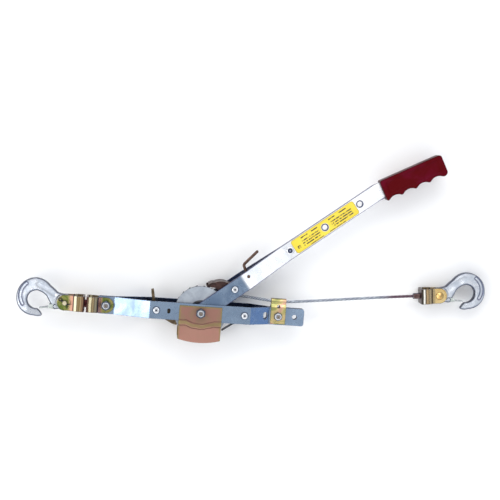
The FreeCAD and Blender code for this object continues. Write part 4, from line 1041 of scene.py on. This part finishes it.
def local_line(points, matrix):
    return np.array([matrix @ Vector(p) for p in points])


def helix(radius, low, high, turns, start):
    per_turn = 28
    steps = int(turns * per_turn)
    return [(radius * cos(radians(start) + 2 * pi * i / per_turn),
             radius * sin(radians(start) + 2 * pi * i / per_turn),
             low + (high - low) * i / steps) for i in range(steps + 1)]


def torsion_spring(name, matrix, node, body, low, high, turns, start, tip, foot):
    """Round wire wound on a pin, with one leg to the pawl and one short leg to the frame."""
    line = [foot] + helix(5.25, low, high, turns, start) + [tip]
    piece = tube(name, local_line(line, matrix), 0.8 * MM, 12, 0.8)
    fit(piece, SPRING, body, node)


torsion_spring("stop_pawl_spring_wire", placed(-FRAME_RIVET, 0, 0), "stop_pawl_spring", "frame",
               4.0, 10.0, 3.47, 100.0, (0.5, 17.6, 9.9), (-9.5, -2.0, 4.0))
torsion_spring("drive_pawl_spring_wire", placed(*on_lever(PAWL_PIN), 0, LEVER_TURN),
               "drive_pawl_spring", "lever", -4.2, 4.2, 4.95, 110.0, (24.6, 7.0, 4.1), (-8.5, -1.5, -4.2))


def split_pin(name, matrix, node, body, height, way):
    """One half-round wire folded on itself: an eye on one side, and two ends bent apart."""
    eye = [(-9.1 + 2.3 * cos(radians(a)), 2.3 * sin(radians(a))) for a in range(40, 321, 20)]
    plan = [(8.2, 3.4), (6.6, 1.9), (5.0, 0.75), (0.0, 0.56), (-5.4, 0.56), (-7.0, 1.1)] + eye + [
        (-7.0, -1.1), (-5.4, -0.56), (0.0, -0.56), (5.0, -0.75), (7.2, -2.6), (8.0, -4.3)]
    line = smooth_line(local_line([(x * way, y, height) for x, y in plan], matrix))
    piece = tube(name, evenly(line, 0.0004), 0.78 * MM, 10, 0.7)
    fit(piece, COTTER, body, node)


split_pin("cotter_pin_wire", placed(ANCHOR_PIN, 0, 0, -35), "cotter_pin", "hook_clevis", 11.8, 1)
split_pin("load_cotter_pin_wire", AT_LOAD, "load_cotter_pin", "load_clevis", -11.8, -1)

# ---- rivets, threads and pins


def round_head(half, reach, dome, dimple, shank):
    """One side of a rivet, from its centre to its shank: a low dome with a small hollow in it."""
    profile = [(0.0, half + dome - 1.1), (dimple * 0.6, half + dome - 1.05), (dimple, half + dome - 0.15)]
    for i in range(1, 10):
        a = radians(90 * i / 9)
        profile.append((dimple + 0.5 + (reach - dimple - 0.5) * sin(a) ** 0.9,
                        half + dome * cos(a) ** 0.8 if i < 9 else half))
    return profile + [(shank, half)]


def domed_rivet(name, matrix, node, body, half, reach, dome, dimple=1.5, finish=HEADS):
    """A rivet's two heads, each from a plate's face at half the stack's depth."""
    upper = round_head(half, reach, dome, dimple, 4.0)
    lower = [(r, -h) for r, h in reversed(upper)]
    piece = lathe(name, matrix, upper + lower, 56)
    fit(piece, finish, body, node)


domed_rivet("stop_pawl_rivet_heads", placed(-FRAME_RIVET, 0, 0), "stop_pawl_pin", "frame", 24, 6.3, 3.3)
domed_rivet("frame_rivet_heads", placed(FRAME_RIVET, 0, 0), "frame_rivet", "frame", 24, 6.3, 3.3)
domed_rivet("drive_pawl_rivet_heads", placed(*on_lever(PAWL_PIN), 0), "drive_pawl_pin", "lever",
            20.6, 6.0, 2.5, 1.4)
domed_rivet("lever_rivet_heads", placed(*on_lever(LEVER_RIVET_AT), 0), "lever_rivet", "lever",
            3, 6.3, 1.55, 2.2, finish=LEVER_RIVET)


def thread(name, x, low, high, radius, pitch):
    """The cut thread on a bolt's end beyond its nut, as close rings with a chamfered last turn."""
    profile = [(radius - 0.3, low)]
    turns = int((high - low - 0.9) / pitch)
    for i in range(turns):
        z = low + 0.1 + pitch * i
        profile += [(radius + 0.04, z), (radius + 0.3, z + pitch * 0.35),
                    (radius + 0.3, z + pitch * 0.6), (radius + 0.04, z + pitch * 0.95)]
    profile += [(radius + 0.04, high - 0.7), (radius - 0.55, high + 0.02), (0.0, high + 0.04)]
    fit(lathe(name, placed(x, 0, 0), profile, 48, sharp=25), NUTS, "frame")


thread("axle_bolt_thread", 0, 33.0, 35.1, 4.76, 1.0)
thread("guide_bolt_thread", GUIDE_BOLT, 12.7, 14.7, 3.97, 0.9)
thread("clevis_bolt_thread", CLEVIS_BOLT, 15.6, 17.2, 4.76, 0.8)

# ---- floor and light

floor = new_piece("floor", [(-4, -4, 0), (4, -4, 0), (4, 4, 0), (-4, 4, 0)], [(0, 1, 2, 3)])
wear_finish(floor, floor_finish())


def softbox(name, place, target, width, height, power):
    """A rectangular lamp that looks at its target and is not seen itself."""
    lamp = bpy.data.lights.new(name, "AREA")
    lamp.shape = "RECTANGLE"
    lamp.size, lamp.size_y = width, height
    lamp.energy = power
    holder = bpy.data.objects.new(name, lamp)
    scene.collection.objects.link(holder)
    holder.location = place
    holder.rotation_euler = (target - place).to_track_quat("-Z", "Y").to_euler()
    holder.visible_camera = False


softbox("lever_side", spot(500, 95, 1000), spot(200, 100, 0), 0.5, 0.34, 0.6)
softbox("left_side", spot(-640, -150, 900), spot(-110, 0, 0), 0.34, 0.5, 1.6)
softbox("far_fill", spot(0, 1300, 900), spot(80, 80, 0), 1.4, 0.7, 6.0)
softbox("near_fill", spot(80, -1200, 800), spot(80, 60, 0), 1.4, 0.6, 3.0)

# A pale sky, brightest high up but not overhead, with a blue patch high on the right.
world = bpy.data.worlds.new("studio")
scene.world = world
world.use_nodes = True
sky = Nodes(world.node_tree)
x, _, z = sky.split(sky.node("ShaderNodeTexCoord").outputs["Generated"])
pale = sky.ramp(z, [(height, (shade, shade * 1.005, shade * 1.015)) for height, shade in (
    (0.0, 0.9), (0.2, 0.95), (0.36, 1.25), (0.62, 1.45), (0.86, 0.62), (1.0, 0.62))])
above = sky.node("ShaderNodeMapRange", {"Value": z, "From Min": 0.24, "From Max": 0.38}).outputs[0]
tinted = sky.mix(sky.times(sky.between(x, 0.58, 0.82), above), pale, (0.21, 0.35, 0.62))
sky.tree.links.new(tinted, sky.tree.nodes["Background"].inputs[0])
scene.view_settings.view_transform = "Standard"
scene.view_settings.look = "None"
